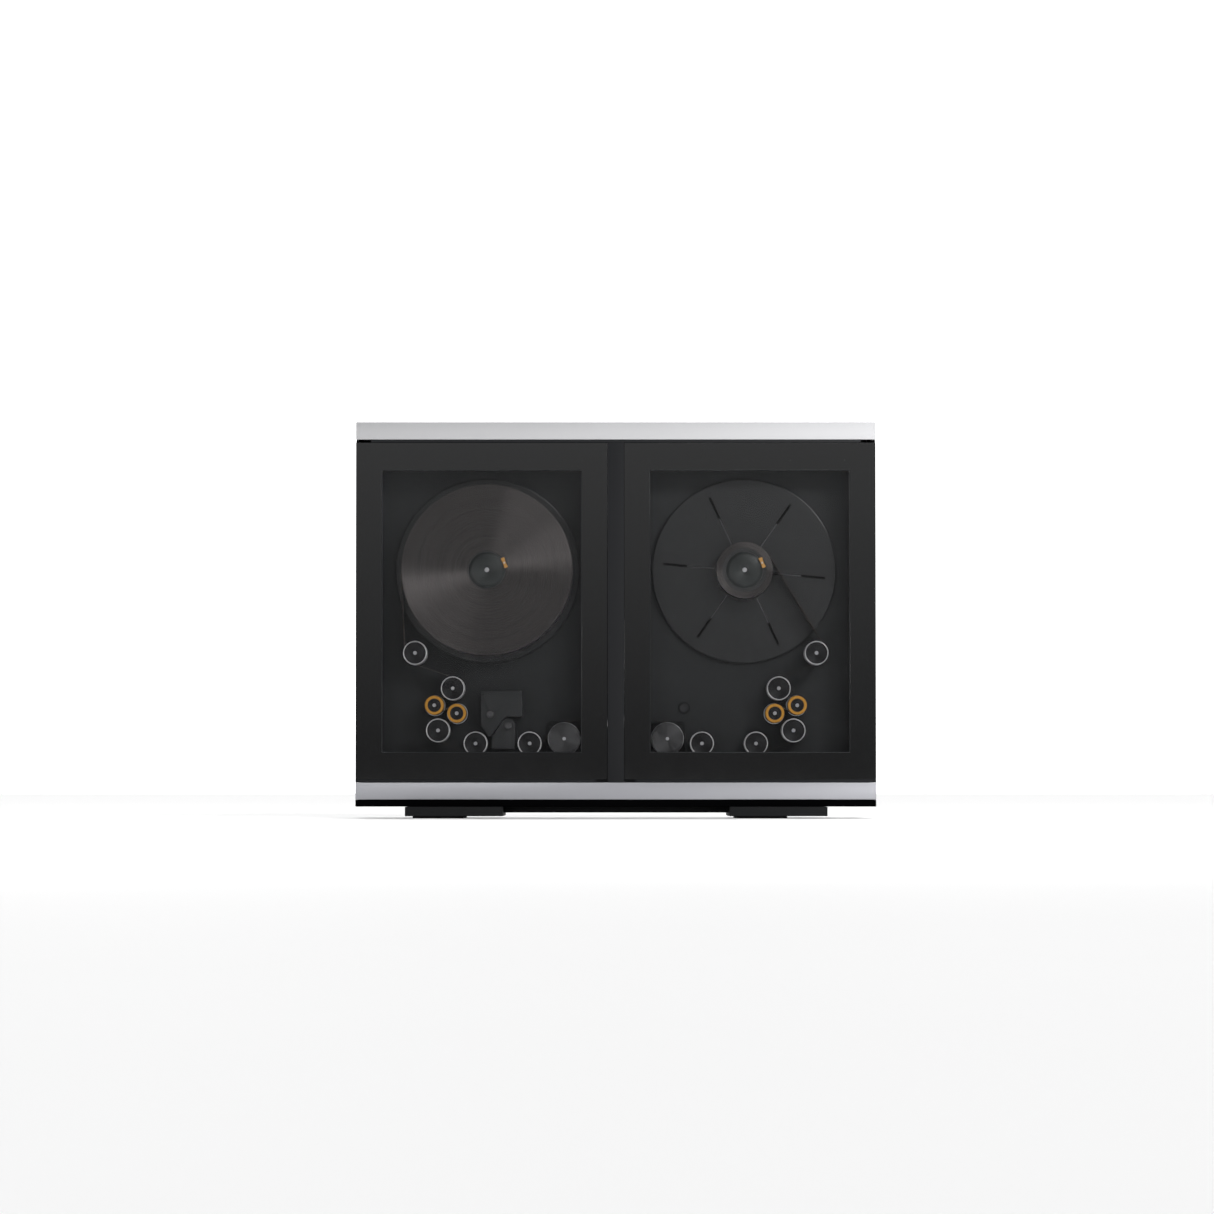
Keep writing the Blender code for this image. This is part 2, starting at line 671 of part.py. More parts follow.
def knob(name, at, seat):
    shape = bmesh.new()
    add_turned(
        shape,
        [
            (0, seat - CLEAR - KNOB_LENGTH), (KNOB_RADIUS, seat - CLEAR - KNOB_LENGTH),
            (KNOB_RADIUS, seat - CLEAR), (KNOB_STUD_RADIUS, seat - CLEAR),
            (KNOB_STUD_RADIUS, seat + KNOB_STUD_LENGTH), (0, seat + KNOB_STUD_LENGTH),
        ],
        at,
    )
    piece(name, shape, black_metal, at, smooth=True)


def stud_hole(target, at, seat):
    hole = bmesh.new()
    add_rod(hole, at, KNOB_STUD_RADIUS + CLEAR, seat - KNOB_LENGTH, seat + KNOB_STUD_LENGTH + CLEAR)
    combine(target, "DIFFERENCE", hole)


def reader():
    """A stepped plate and, in its lower corner, a head with a round nose over the film's level run."""
    plate_face = deck_face - READER_PLATE_RISE
    block_face = deck_face - READER_BLOCK_RISE
    seat = deck_face - CLEAR
    nose = READER_NOSE_RADIUS
    reach = nose + READER_SLOT
    corner = arc(READER_PIVOT, reach, READER_SLANT + math.radians(80), 0, 1)[0]
    toe_x = corner[0] - (corner[1] - READER_TOE) / math.tan(READER_SLANT)
    plate_outline = [
        (READER_LEFT, READER_TOP), (READER_LEFT, READER_TOE + 1.45 * nose),
        (READER_LEFT + nose, READER_TOE), (toe_x, READER_TOE), corner,
        (corner[0] + READER_STEP - corner[1], READER_STEP), (READER_RIGHT, READER_STEP),
        (READER_RIGHT, READER_TOP),
    ]
    plate = bmesh.new()
    add_slab(plate, plate_outline, plate_face, seat)
    plate = piece("reader_plate", plate, satin_silver)
    stud_hole(plate, READER_KNOB_AT, plate_face)
    head_outline = [
        (toe_x, READER_BLOCK_FOOT), (READER_PIVOT[0] + nose, READER_BLOCK_FOOT),
        *arc(READER_PIVOT, nose, 0, READER_SLANT + math.pi / 2, 8),
        (toe_x + READER_SLOT, READER_TOE - 2 * READER_SLOT),
    ]
    head = bmesh.new()
    add_slab(head, head_outline, block_face, seat)
    head = piece("reader_head", head, charcoal_deck)
    stud_hole(head, READER_PIVOT, block_face)
    knob("reader_knob_upper", READER_KNOB_AT, plate_face)
    knob("reader_knob_lower", READER_PIVOT, block_face)


def start_button():
    shape = bmesh.new()
    collar_front = deck_back + CLEAR
    add_turned(
        shape,
        [
            (0, deck_face - BUTTON_RISE), (BUTTON_RADIUS, deck_face - BUTTON_RISE),
            (BUTTON_RADIUS, collar_front), (BEZEL_RADIUS, collar_front),
            (BEZEL_RADIUS, collar_front + WALL), (0, collar_front + WALL),
        ],
        BUTTON_AT,
    )
    piece("start_button", shape, black_rubber, BUTTON_AT, smooth=True)


def electronics():
    width, thickness, height = BOARD_SIZE
    near = deck_back + BOARD_GAP
    board = block(
        "control_board", (-width / 2, near, BOARD_Z - height / 2),
        (width / 2, near + thickness, BOARD_Z + height / 2), green_board,
    )
    fitted = bmesh.new()
    across, up = width / 2 - 2 * STANDOFF_RADIUS, height / 2 - 2 * STANDOFF_RADIUS
    for x_sign in (-1, 1):
        for z_sign in (-1, 1):
            at = (x_sign * across, BOARD_Z + z_sign * up)
            add_rod(fitted, at, STANDOFF_RADIUS, deck_back + CLEAR, near + thickness / 2)
    for place in (-0.09, -0.02, 0.06):
        add_box(
            fitted, (place, near + thickness / 2, BOARD_Z - height / 5),
            (place + height / 4, near + thickness + BOARD_GAP / 2, BOARD_Z + height / 8),
        )
    combine(board, "UNION", fitted)
    width, depth, height = SUPPLY_SIZE
    block(
        "power_supply", (SUPPLY_AT[0] - width / 2, deck_back + CLEAR, SUPPLY_AT[1] - height / 2),
        (SUPPLY_AT[0] + width / 2, deck_back + CLEAR + depth, SUPPLY_AT[1] + height / 2),
        satin_silver, EDGE_ROUND,
    )


def power_inlet():
    x, z = INLET_AT
    flange_back = back + CLEAR + INLET_FLANGE_THICKNESS
    inlet = block(
        "power_inlet", (x - INLET_FLANGE[0] / 2, back + CLEAR, z - INLET_FLANGE[1] / 2),
        (x + INLET_FLANGE[0] / 2, flange_back, z + INLET_FLANGE[1] / 2), black_rubber,
    )
    body = bmesh.new()
    add_box(
        body, (x - INLET_BODY[0] / 2, back - INLET_LENGTH, z - INLET_BODY[1] / 2),
        (x + INLET_BODY[0] / 2, flange_back - INLET_FLANGE_THICKNESS / 2, z + INLET_BODY[1] / 2),
    )
    combine(inlet, "UNION", body)
    socket = bmesh.new()
    add_box(
        socket, (x - INLET_SOCKET[0] / 2, flange_back - INLET_SOCKET_DEPTH, z - INLET_SOCKET[1] / 2),
        (x + INLET_SOCKET[0] / 2, flange_back + WALL, z + INLET_SOCKET[1] / 2),
    )
    combine(inlet, "DIFFERENCE", socket)


def film_route():
    """The middle of the film from the feed pack to the take-up core, as straight tangents and arcs.
    Each circle has its centre, radius and turning sense: 1 counter-clockwise from the front."""
    lift = CLEAR + FILM_THICKNESS / 2
    turns = {
        "roller_1": 1, "roller_2": -1, "clean_roller_1": 1, "clean_roller_2": -1,
        "roller_3": 1, "roller_4": 1, "roller_5": 1,
    }
    guides = []
    for name, sense in turns.items():
        radius = CLEAN_RADIUS if name.startswith("clean") else BARREL_RADIUS
        guides.append((*IDLERS[name], radius + lift, sense))
    guides.append((*DRIVE_AT, DRIVE_RADIUS + lift, -1))
    circles = [(-REEL_X, REEL_Z, PACK_RADIUS["feed"] + lift, 1)]
    circles += [(-x, z, radius, sense) for x, z, radius, sense in guides]
    circles.append((0, GATE_CREST - GATE_CURVE - lift, GATE_CURVE + lift, -1))
    circles += reversed(guides)
    circles.append((REEL_X, REEL_Z, PACK_RADIUS["takeup"] + lift, 1))

    arrivals, departures = [], []
    for (x1, z1, r1, s1), (x2, z2, r2, s2) in zip(circles, circles[1:]):
        gap = Vector((x2 - x1, z2 - z1))
        heading = math.atan2(gap.y, gap.x) - math.asin((s2 * r2 - s1 * r1) / gap.length)
        normal = heading + math.pi / 2
        departures.append(normal if s1 < 0 else normal + math.pi)
        arrivals.append(normal if s2 < 0 else normal + math.pi)
    points = [arc(circles[0][:2], circles[0][2], departures[0], departures[0], 1)[0]]
    for (x, z, radius, sense), start, end in zip(circles[1:-1], arrivals, departures[1:]):
        sweep = (end - start) * sense % (2 * math.pi)
        step = 2 * math.acos(1 - FILM_CHORD_ERROR / radius)
        steps = max(2, math.ceil(sweep / step))
        points += arc((x, z), radius, start, start + sense * sweep, steps)
    points.append(arc(circles[-1][:2], circles[-1][2], arrivals[-1], arrivals[-1], 1)[0])
    return [Vector(point) for point in points]


def film_web():
    route = film_route()
    left, right = [], []
    for index, point in enumerate(route):
        before = route[max(index - 1, 0)]
        after = route[min(index + 1, len(route) - 1)]
        along = (after - before).normalized()
        side = Vector((-along.y, along.x)) * FILM_THICKNESS / 2
        left.append(point + side)
        right.append(point - side)
    web = bmesh.new()
    near = [[web.verts.new((p.x, film_front, p.y)) for p in line] for line in (left, right)]
    far = [[web.verts.new((p.x, film_rear, p.y)) for p in line] for line in (left, right)]
    loops = (near[0], near[1], far[1], far[0])
    for index in range(len(route) - 1):
        for first, second in zip(loops, loops[1:] + loops[:1]):
            web.faces.new((first[index], first[index + 1], second[index + 1], second[index]))
    for index in (0, -1):
        web.faces.new([line[index] for line in loops])
    piece("film_web", web, wound_film)


stand()
cabinet()
doors()
tracks()
deck_plate()
reels()
rollers()
motors()
optics()
reader()
start_button()
electronics()
power_inlet()
film_web()
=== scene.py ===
import json
import math

import bmesh
import bpy
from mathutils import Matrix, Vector


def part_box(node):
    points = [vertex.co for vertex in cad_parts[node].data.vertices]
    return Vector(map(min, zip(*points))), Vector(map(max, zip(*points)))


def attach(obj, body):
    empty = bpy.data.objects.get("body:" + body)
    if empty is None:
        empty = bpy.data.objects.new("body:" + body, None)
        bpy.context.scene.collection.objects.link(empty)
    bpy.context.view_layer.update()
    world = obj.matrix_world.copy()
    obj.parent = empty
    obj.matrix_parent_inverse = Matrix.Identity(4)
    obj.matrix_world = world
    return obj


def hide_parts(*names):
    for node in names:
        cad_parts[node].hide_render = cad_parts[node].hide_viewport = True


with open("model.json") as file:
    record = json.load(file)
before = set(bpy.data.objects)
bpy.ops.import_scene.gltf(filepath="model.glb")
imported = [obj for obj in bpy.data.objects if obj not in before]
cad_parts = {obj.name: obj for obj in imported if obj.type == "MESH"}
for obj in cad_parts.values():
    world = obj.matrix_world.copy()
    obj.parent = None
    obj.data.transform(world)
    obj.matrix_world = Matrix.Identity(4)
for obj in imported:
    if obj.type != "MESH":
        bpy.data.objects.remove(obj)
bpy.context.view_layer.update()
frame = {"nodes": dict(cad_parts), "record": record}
nodes = frame["nodes"]
bodies = frame["record"]["behaviour"]["bodies"]
bodyOf = {node: body for body, members in bodies.items() for node in members}

mm = 0.001
gap = 0.3 * mm
sides = ("feed", "takeup")


class Wire:
    # a shader socket that takes + * / and ** with numbers or other wires

    def __init__(self, graph, socket):
        self.graph, self.socket = graph, socket

    def math(self, operation, *values):
        return self.graph.add("ShaderNodeMath", {"operation": operation}, dict(enumerate(values)))

    def __add__(self, other):
        return self.math("ADD", self, other)

    def __mul__(self, other):
        return self.math("MULTIPLY", self, other)

    def __truediv__(self, other):
        return self.math("DIVIDE", self, other)

    def __rtruediv__(self, other):
        return self.math("DIVIDE", other, self)

    def __pow__(self, other):
        return self.math("POWER", self, other)

    __radd__ = __add__
    __rmul__ = __mul__


class Graph:
    # a node tree: every node on it comes from add()

    def __init__(self, tree):
        self.tree = tree

    def add(self, kind, settings=None, inputs=None, output=0):
        node = self.tree.nodes.new(kind)
        for key, value in (settings or {}).items():
            setattr(node, key, value)
        for key, value in (inputs or {}).items():
            self.feed(node.inputs[key], value)
        return Wire(self, node.outputs[output])

    def feed(self, socket, value):
        if isinstance(value, Wire):
            self.tree.links.new(value.socket, socket)
        else:
            socket.default_value = value

    def axes(self, source):
        # the three parts of a vector, as wires
        first = self.add("ShaderNodeSeparateXYZ", None, {0: source})
        return [Wire(self, part) for part in first.socket.node.outputs]

    def ramp(self, value, start, end, low, high):
        ends = {"From Min": start, "From Max": end, "To Min": low, "To Max": high}
        return self.add("ShaderNodeMapRange", None, {"Value": value, **ends})


class Finish(Graph):
    # one material around its Principled shader

    def __init__(self, name, **values):
        self.material = bpy.data.materials.new(name)
        self.material.use_nodes = True
        super().__init__(self.material.node_tree)
        self.shader = self.tree.nodes["Principled BSDF"]
        self.set(**values)

    def set(self, **values):
        for key, value in values.items():
            self.feed(self.shader.inputs[key.replace("_", " ")], value)

    def place(self):
        return self.add("ShaderNodeTexCoord", output="Object")

    def noise(self, scale, detail=3.0, vector=None):
        inputs = {"Vector": vector or self.place(), "Scale": scale, "Detail": detail, "Roughness": 0.55}
        return self.add("ShaderNodeTexNoise", None, inputs)

    def mix(self, factor, first, second):
        # sockets 6 and 7 and output 2 are the node's colours
        inputs = {0: factor, 6: (*first, 1), 7: (*second, 1)}
        return self.add("ShaderNodeMix", {"data_type": "RGBA"}, inputs, output=2)

    def bump(self, height, distance, strength):
        inputs = {"Height": height, "Distance": distance, "Strength": strength}
        self.set(Normal=self.add("ShaderNodeBump", None, inputs))

    def vector(self, x, y, z):
        return self.add("ShaderNodeCombineXYZ", None, {0: x, 1: y, 2: z})

    def polar(self):
        # distance from the piece's own turning axis, local Z, and the angle round it
        x, y, _ = self.axes(self.place())
        radius = (x * x + y * y) ** 0.5
        return radius, y.math("ARCTAN2", y, x)


def tint(colour, share):
    return tuple(part * share for part in colour)


def satinMetal(name, colour, roughness, grain=9000, metallic=1.0):
    made = Finish(name, Metallic=metallic)
    speck = made.noise(grain, 2)
    broad = made.noise(6, 4)
    made.set(
        Base_Color=made.mix(broad * 0.6 + speck * 0.4, tint(colour, 0.95), tint(colour, 1.05)),
        Roughness=broad * 0.08 + (roughness - 0.04),
    )
    made.bump(speck, 0.004 * mm, 0.5)
    return made.material


def powderCoat(name, colour, roughness, grain=2400, height=0.02 * mm, gloss=0.25):
    made = Finish(name, Metallic=0.0, Specular_IOR_Level=gloss)
    grit = made.noise(grain, 2)
    cloud = made.noise(4, 4)
    made.set(
        Base_Color=made.mix(cloud * 0.5 + grit * 0.5, tint(colour, 0.8), tint(colour, 1.25)),
        Roughness=grit * 0.12 + cloud * 0.1 + (roughness - 0.1),
    )
    made.bump(grit, height, 0.45)
    return made.material


def turnedMetal(name, colour, roughness, pitch=0.35 * mm, streak=0.25, metallic=1.0):
    # fine rings from the lathe, a little uneven round the circle
    made = Finish(name, Metallic=metallic, Anisotropic=0.7, Anisotropic_Rotation=0.25)
    radius, angle = made.polar()
    rings = made.noise(1.0, 2, made.vector(radius / pitch, angle * 0.4, 0.0))
    rays = made.noise(1.0, 3, made.vector(radius * 12.0, angle * 5.0, 3.0))
    made.set(
        Base_Color=made.mix(rays * 0.5 + rings * 0.5, tint(colour, 1 - streak), tint(colour, 1 + streak)),
        Roughness=rings * 0.16 + (roughness - 0.08),
    )
    made.bump(rings, 0.01 * mm, 0.8)
    return made.material


def radialBrush(name, colour, roughness):
    # brushed outwards from the middle, as on the driven rollers' faces; the rays in the colour are partly
    # brushed grain and partly painted sheen
    made = Finish(name, Metallic=1.0, Anisotropic=0.85, Anisotropic_Rotation=0.25)
    radius, angle = made.polar()
    rays = made.noise(1.0, 4, made.vector(angle * 38.0, radius * 25.0, 0.0))
    wide = made.noise(1.0, 2, made.vector(angle * 3.0, radius * 8.0, 5.0))
    # painted sheen: the colour runs from a fifth to twice the disc's tone along the rays, on top of the
    # brushed grain
    made.set(
        Base_Color=made.mix(rays * 0.6 + wide * 0.4, tint(colour, 0.2), tint(colour, 2.1)),
        Roughness=rays * 0.2 + (roughness - 0.1),
    )
    made.bump(rays, 0.05 * mm, 0.6)
    return made.material


wound = {
    "metallic": 0.9, "sheen": 0.95, "roughness": 0.28, "layer": 0.5 * mm, "band": 9 * mm,
    "ridge": 0.9 * mm, "height": 0.002 * mm, "dark": (0.048, 0.044, 0.044), "light": (0.076, 0.070, 0.069),
}


def woundEdges(name):
    # the edges of wound film: uneven layers, and a sheen that changes round the roll
    made = Finish(name, Metallic=wound["metallic"], Anisotropic=wound["sheen"], Anisotropic_Rotation=0.25)
    radius, angle = made.polar()
    layers = made.noise(1.0, 3, made.vector(radius / wound["layer"], 0.0, 0.0))
    bands = made.noise(1.0, 2, made.vector(radius / wound["band"], angle * 0.15, 2.0))
    slip = made.noise(1.0, 2, made.vector(radius / (2 * wound["band"]), angle * 1.5, 7.0))
    made.set(
        Base_Color=made.mix(layers * 0.35 + bands * 0.4 + slip * 0.25, wound["dark"], wound["light"]),
        Roughness=layers * 0.12 + (wound["roughness"] - 0.06),
    )
    turn = radius * (2 * math.pi / wound["ridge"])
    made.bump(turn.math("SINE", turn) * 0.5 + layers * 0.5, wound["height"], 0.9)
    return made.material


def boardFace(name):
    made = Finish(name, Roughness=0.4)
    x, _, z = made.axes(made.place())
    made.set(Base_Color=made.add("ShaderNodeTexBrick", None, {
        "Vector": made.vector(x, z, 0.0), "Scale": 60.0, "Mortar Size": 0.03,
        "Color1": (0.02, 0.15, 0.07, 1), "Color2": (0.025, 0.17, 0.08, 1), "Mortar": (0.05, 0.26, 0.13, 1),
    }))
    return made.material


def wipedGlass(name, dark, light, scale, roughness, **values):
    # faint wipe marks on deep gloss
    made = Finish(name, **values)
    wipe = made.noise(scale, 5)
    made.set(Base_Color=made.mix(wipe, dark, light), Roughness=wipe * 0.05 + roughness)
    return made.material


paint = {
    "cap": satinMetal("satin_silver", (0.38, 0.38, 0.388), 0.6, metallic=0.5),
    "strip": satinMetal("strip_silver", (0.32, 0.322, 0.342), 0.42),
    "steel": satinMetal("ground_steel", (0.70, 0.70, 0.72), 0.25, grain=3000),
    "pin": satinMetal("pin_steel", (0.50, 0.50, 0.52), 0.3, grain=3000),
    "motor": satinMetal("motor_case", (0.20, 0.20, 0.21), 0.45, grain=2500),
    "brass": satinMetal("contact_brass", (0.75, 0.55, 0.25), 0.3),
    "black": powderCoat("matt_black", (0.006, 0.0065, 0.007), 0.6, gloss=0.12),
    # painted shade: near-black with no gloss, standing in for the shadow on the recessed bottom plate and in
    # the platter slots
    "shade": powderCoat("painted_shade_black", (0.0012, 0.0012, 0.0014), 0.8, gloss=0.0),
    "post": powderCoat("post_black", (0.006, 0.0064, 0.0075), 0.5, height=0.004 * mm, gloss=0.14),
    "rail": powderCoat("rail_black", (0.006, 0.0065, 0.0075), 0.5, height=0.005 * mm, gloss=0.12),
    "deck": powderCoat("deck_charcoal", (0.0115, 0.0125, 0.0135), 0.6, gloss=0.2),
    "reader": powderCoat("reader_charcoal", (0.0120, 0.0130, 0.0142), 0.45, gloss=0.3),
    "rubber": powderCoat("pad_rubber", (0.014, 0.014, 0.014), 0.85, grain=500, height=0.15 * mm),
    "plastic": powderCoat("black_plastic", (0.022, 0.022, 0.023), 0.42, grain=2600),
    "platter": powderCoat("platter_black", (0.0062, 0.0068, 0.0077), 0.38, height=0.002 * mm, gloss=0.35),
    "outline": powderCoat("border_outline", (0.010, 0.011, 0.012), 0.3, height=0.005 * mm),
    "orange": powderCoat("orange_polymer", (0.42, 0.20, 0.024), 0.42, grain=900, height=0.03 * mm),
    "lever": powderCoat("lever_orange", (0.42, 0.22, 0.06), 0.45, grain=2000),
    "film": powderCoat("film_base", (0.05, 0.038, 0.03), 0.25, grain=300, height=0.005 * mm),
    "knob": turnedMetal("knob_metal", (0.085, 0.085, 0.088), 0.35),
    "button": turnedMetal("button_metal", (0.035, 0.035, 0.037), 0.38),
    "hub": turnedMetal("hub_black", (0.018, 0.021, 0.021), 0.42, pitch=0.6 * mm, metallic=0.4),
    "ring": turnedMetal("roller_rim", (0.62, 0.62, 0.63), 0.28, streak=0.08),
    "dish": turnedMetal("roller_dish", (0.022, 0.022, 0.023), 0.42, pitch=0.8 * mm),
    "barrel": turnedMetal("roller_barrel", (0.12, 0.12, 0.125), 0.35),
    "flange": turnedMetal("rear_flange", (0.55, 0.56, 0.57), 0.3, streak=0.12),
    "lens": turnedMetal("lens_barrel", (0.03, 0.03, 0.032), 0.35),
    "disc": radialBrush("driven_disc", (0.055, 0.055, 0.057), 0.32),
    "roll": woundEdges("wound_roll"),
    "board": boardFace("board_green"),
    "border": wipedGlass(  # black print behind clear glass
        "border_glass", (0.0018, 0.0019, 0.0021), (0.0028, 0.003, 0.0033), 9, 0.03, IOR=1.5
    ),
    "window": wipedGlass(  # the tinted part, seen through by alpha
        "window_glass", (0.004, 0.0045, 0.005), (0.006, 0.0065, 0.007), 7, 0.02, IOR=1.6, Alpha=0.15
    ),
}
print("finishes:", len(paint))

edges = {"smooth": 30, "soft": 28, "flat": 1}  # degrees


def newPiece(name, shape, finishes, body, stands=(), bevel=0, segments=3):
    mesh = bpy.data.meshes.new(name)
    shape.to_mesh(mesh)
    shape.free()
    return dress(name, mesh, finishes, body, stands, bevel, segments)


def dress(name, mesh, finishes, body, stands=(), bevel=0, segments=3):
    piece = bpy.data.objects.new(name, mesh)
    bpy.context.scene.collection.objects.link(piece)
    if not mesh.materials:
        for finish in finishes:
            mesh.materials.append(paint[finish])
    if bevel:
        soft = piece.modifiers.new("softEdges", "BEVEL")
        soft.width, soft.segments, soft.limit_method = bevel, segments, "ANGLE"
        soft.angle_limit = math.radians(edges["soft"])
        soft.harden_normals = True
    mesh.shade_smooth()
    if not bevel:
        mesh.set_sharp_from_angle(angle=math.radians(edges["smooth"]))
    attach(piece, body)
    if stands:
        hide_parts(*stands)
    return piece


def refine(node, finish, bevel):
    # a CAD block with its flat faces made whole and its edges softened
    shape = bmesh.new()
    shape.from_mesh(nodes[node].data)
    bmesh.ops.remove_doubles(shape, verts=shape.verts[:], dist=0.001 * mm)
    bmesh.ops.dissolve_limit(
        shape, angle_limit=math.radians(edges["flat"]), verts=shape.verts[:], edges=shape.edges[:]
    )
    for face in shape.faces:
        face.material_index = 0
    return newPiece(f"{node}_shell", shape, [finish], bodyOf[node], [node], bevel=bevel)


def hexagon(angle):
    # reach of a hexagon's side at this angle, for a corner radius of 1
    return math.cos(math.pi / 6) / math.cos(angle % (math.pi / 3) - math.pi / 6)


def knurl(angle):
    # 36 shallow ribs
    return 1 - 0.035 * (0.5 + 0.5 * math.cos(36 * angle))


def turned(shape, profile, at=(0, 0, 0), around="y", count=96):
    # profile rows are (radius, depth, finish slot[, outline]); a row's slot covers the band up to the next
    rings = []
    for radius, depth, _, *outline in profile:
        ring = []
        for step in range(count if radius else 1):
            angle = 2 * math.pi * step / count
            reach = radius * (outline[0](angle) if outline else 1)
            flat = (reach * math.cos(angle), reach * math.sin(angle))
            place = (flat[0], depth, flat[1]) if around == "y" else (flat[0], flat[1], -depth)
            ring.append(shape.verts.new(Vector(at) + Vector(place)))
        rings.append(ring)
    for row, (near, far) in enumerate(zip(rings, rings[1:])):
        for step in range(count):
            turn = (step + 1) % count
            corners = [
                near[step % len(near)], near[turn % len(near)], far[turn % len(far)], far[step % len(far)],
            ]
            shape.faces.new(list(dict.fromkeys(corners))).material_index = profile[row][2]
    return shape


def lathe(name, profile, finishes, body, stands=(), at=(0, 0, 0), around="y", count=96):
    # the mesh turns about its own Z, which the rings and sheen follow; "y" lays that axis along Y
    shape = bmesh.new()
    turned(shape, profile, around="z", count=count)
    bmesh.ops.recalc_face_normals(shape, faces=shape.faces[:])
    return lay(newPiece(name, shape, finishes, body, stands), at, around)


def lay(piece, at, around="y"):
    piece.location = at
    if around == "y":
        piece.rotation_euler.x = math.pi / 2
    return piece


def softBlock(name, low, high, finish, body, bevel, stands=()):
    shape = bmesh.new()
    made = bmesh.ops.create_cube(shape, size=1)["verts"]
    size = Vector(high) - Vector(low)
    bmesh.ops.scale(shape, vec=size, verts=made)
    bmesh.ops.translate(shape, vec=Vector(low) + size / 2, verts=made)
    return newPiece(name, shape, [finish], body, stands, bevel=bevel)


def slab(name, outline, near, far, finish, body, bevel, stands=()):
    # an outline in x and z between two depths
    shape = bmesh.new()
    face = shape.faces.new([shape.verts.new((x, near, z)) for x, z in outline])
    made = bmesh.ops.extrude_face_region(shape, geom=[face])["geom"]
    moved = [item for item in made if isinstance(item, bmesh.types.BMVert)]
    bmesh.ops.translate(shape, vec=(0, far - near, 0), verts=moved)
    bmesh.ops.recalc_face_normals(shape, faces=shape.faces[:])
    return newPiece(name, shape, [finish], body, stands, bevel=bevel)


def arc(centre, radius, start, end, steps):
    angles = [math.radians(start + (end - start) * step / steps) for step in range(steps + 1)]
    return [(centre[0] + radius * math.cos(a), centre[1] + radius * math.sin(a)) for a in angles]


def rounded(low, high, radius, steps=6):
    corners = ((high[0], high[1], 0), (low[0], high[1], 90), (low[0], low[1], 180), (high[0], low[1], 270))
    outline = []
    for x, z, start in corners:
        inX = x - radius if x == high[0] else x + radius
        inZ = z - radius if z == high[1] else z + radius
        outline += arc((inX, inZ), radius, start, start + 90, steps)
    return outline


screw = {"head": 2.6 * mm, "rise": 1.1 * mm, "socket": 1.35 * mm, "depth": 0.9 * mm}


def screwHead(shape, at, facing, size):
    # a button head with a hexagonal socket; facing -1 looks to the front, 1 to the back
    head, rise, socket, depth = (part * size for part in screw.values())
    rows = [
        (0, rise - depth, 0), (socket, rise - depth, 0, hexagon), (socket, rise, 0, hexagon),
        (head * 0.72, rise, 0), (head * 0.93, rise * 0.75, 0), (head, rise * 0.3, 0), (head, -0.2 * mm, 0),
    ]
    turned(shape, [(r, facing * d, *rest) for r, d, *rest in rows], at, count=24)


def screws(name, places, finish="steel", facing=-1, size=1.0):
    shape = bmesh.new()
    for place in places:
        screwHead(shape, place, facing, size)
    bmesh.ops.recalc_face_normals(shape, faces=shape.faces[:])
    return newPiece(name, shape, [finish], "cabinet")


def middle(node):
    low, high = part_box(node)
    return [(a + b) / 2 for a, b in zip(low, high)]


def measures(node):
    # a round piece's middle in x and z, its radius, its front and its back
    low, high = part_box(node)
    x, _, z = middle(node)
    return x, z, (high[0] - low[0]) / 2, low[1], high[1]


# cabinet and stand: each CAD block with its finish and the width of its softened edges
blocks = {
    # the bottom plate takes the painted-shade finish
    "top_cap": ("cap", 1.2), "base_strip": ("strip", 0.6), "bottom_plate": ("shade", 0.8),
    "side_panel_left": ("black", 0.4), "side_panel_right": ("black", 0.4), "rear_cover": ("black", 0.4),
    "centre_post": ("post", 0.5), "top_track": ("post", 0.25), "bottom_track": ("black", 0.4),
    "left_door_rail": ("rail", 0.3), "right_door_rail": ("rail", 0.3), "stand_beam": ("black", 0.8),
    "foot_left": ("black", 1.2), "foot_right": ("black", 1.2), "pad_left": ("rubber", 0.5),
    "pad_right": ("rubber", 0.5), "power_supply": ("steel", 0.8), "control_board": ("board", 0.15),
    "scan_camera": ("black", 1.0), "lamp_house": ("black", 1.0), "film_gate": ("steel", 0.3),
    "power_inlet": ("plastic", 0.5),
}
cover = {"screwIn": 12 * mm, "columns": 5, "screwSize": 1.2}
inlet = {
    "screwIn": 5 * mm, "screwSink": 0.2 * mm, "screwSize": 0.8,
    "blades": ((-6.5 * mm, -1.5 * mm), (0, 2.5 * mm), (6.5 * mm, -1.5 * mm)), "bladeEdge": 0.25 * mm,
    "bladeIn": 9 * mm, "bladeHalf": 1 * mm, "bladeTall": 2 * mm, "bladeFront": 8.5 * mm, "bladeBack": 5 * mm,
}


def coverScrews():
    # three rows, with the middle row only at the two ends
    low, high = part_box("rear_cover")
    inset, steps = cover["screwIn"], cover["columns"] - 1
    rise = [low[2] + inset, (low[2] + high[2]) / 2, high[2] - inset]
    run = [low[0] + inset + step * (high[0] - low[0] - 2 * inset) / steps for step in range(steps + 1)]
    places = [(x, high[1], z) for x in run for z in rise if z != rise[1] or x in (run[0], run[-1])]
    screws("rear_cover_screws", places, facing=1, size=cover["screwSize"])


def inletParts():
    low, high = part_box("power_inlet")
    x, _, z = middle("power_inlet")
    ends = (low[0] + inlet["screwIn"], high[0] - inlet["screwIn"])
    screws("inlet_screws", [(end, high[1] - inlet["screwSink"], z) for end in ends],
           facing=1, size=inlet["screwSize"])
    y, half, tall = high[1] - inlet["bladeIn"], inlet["bladeHalf"], inlet["bladeTall"]
    for index, (aside, lift) in enumerate(inlet["blades"]):
        softBlock(f"inlet_blade_{index + 1}", (x + aside - half, y - inlet["bladeFront"], z + lift - tall),
                  (x + aside + half, y + inlet["bladeBack"], z + lift + tall), "brass", "cabinet",
                  inlet["bladeEdge"])


def cabinet():
    for node, (finish, bevel) in blocks.items():
        refine(node, finish, bevel * mm)
    coverScrews()
    inletParts()


cabinet()
print("cabinet and stand: done")


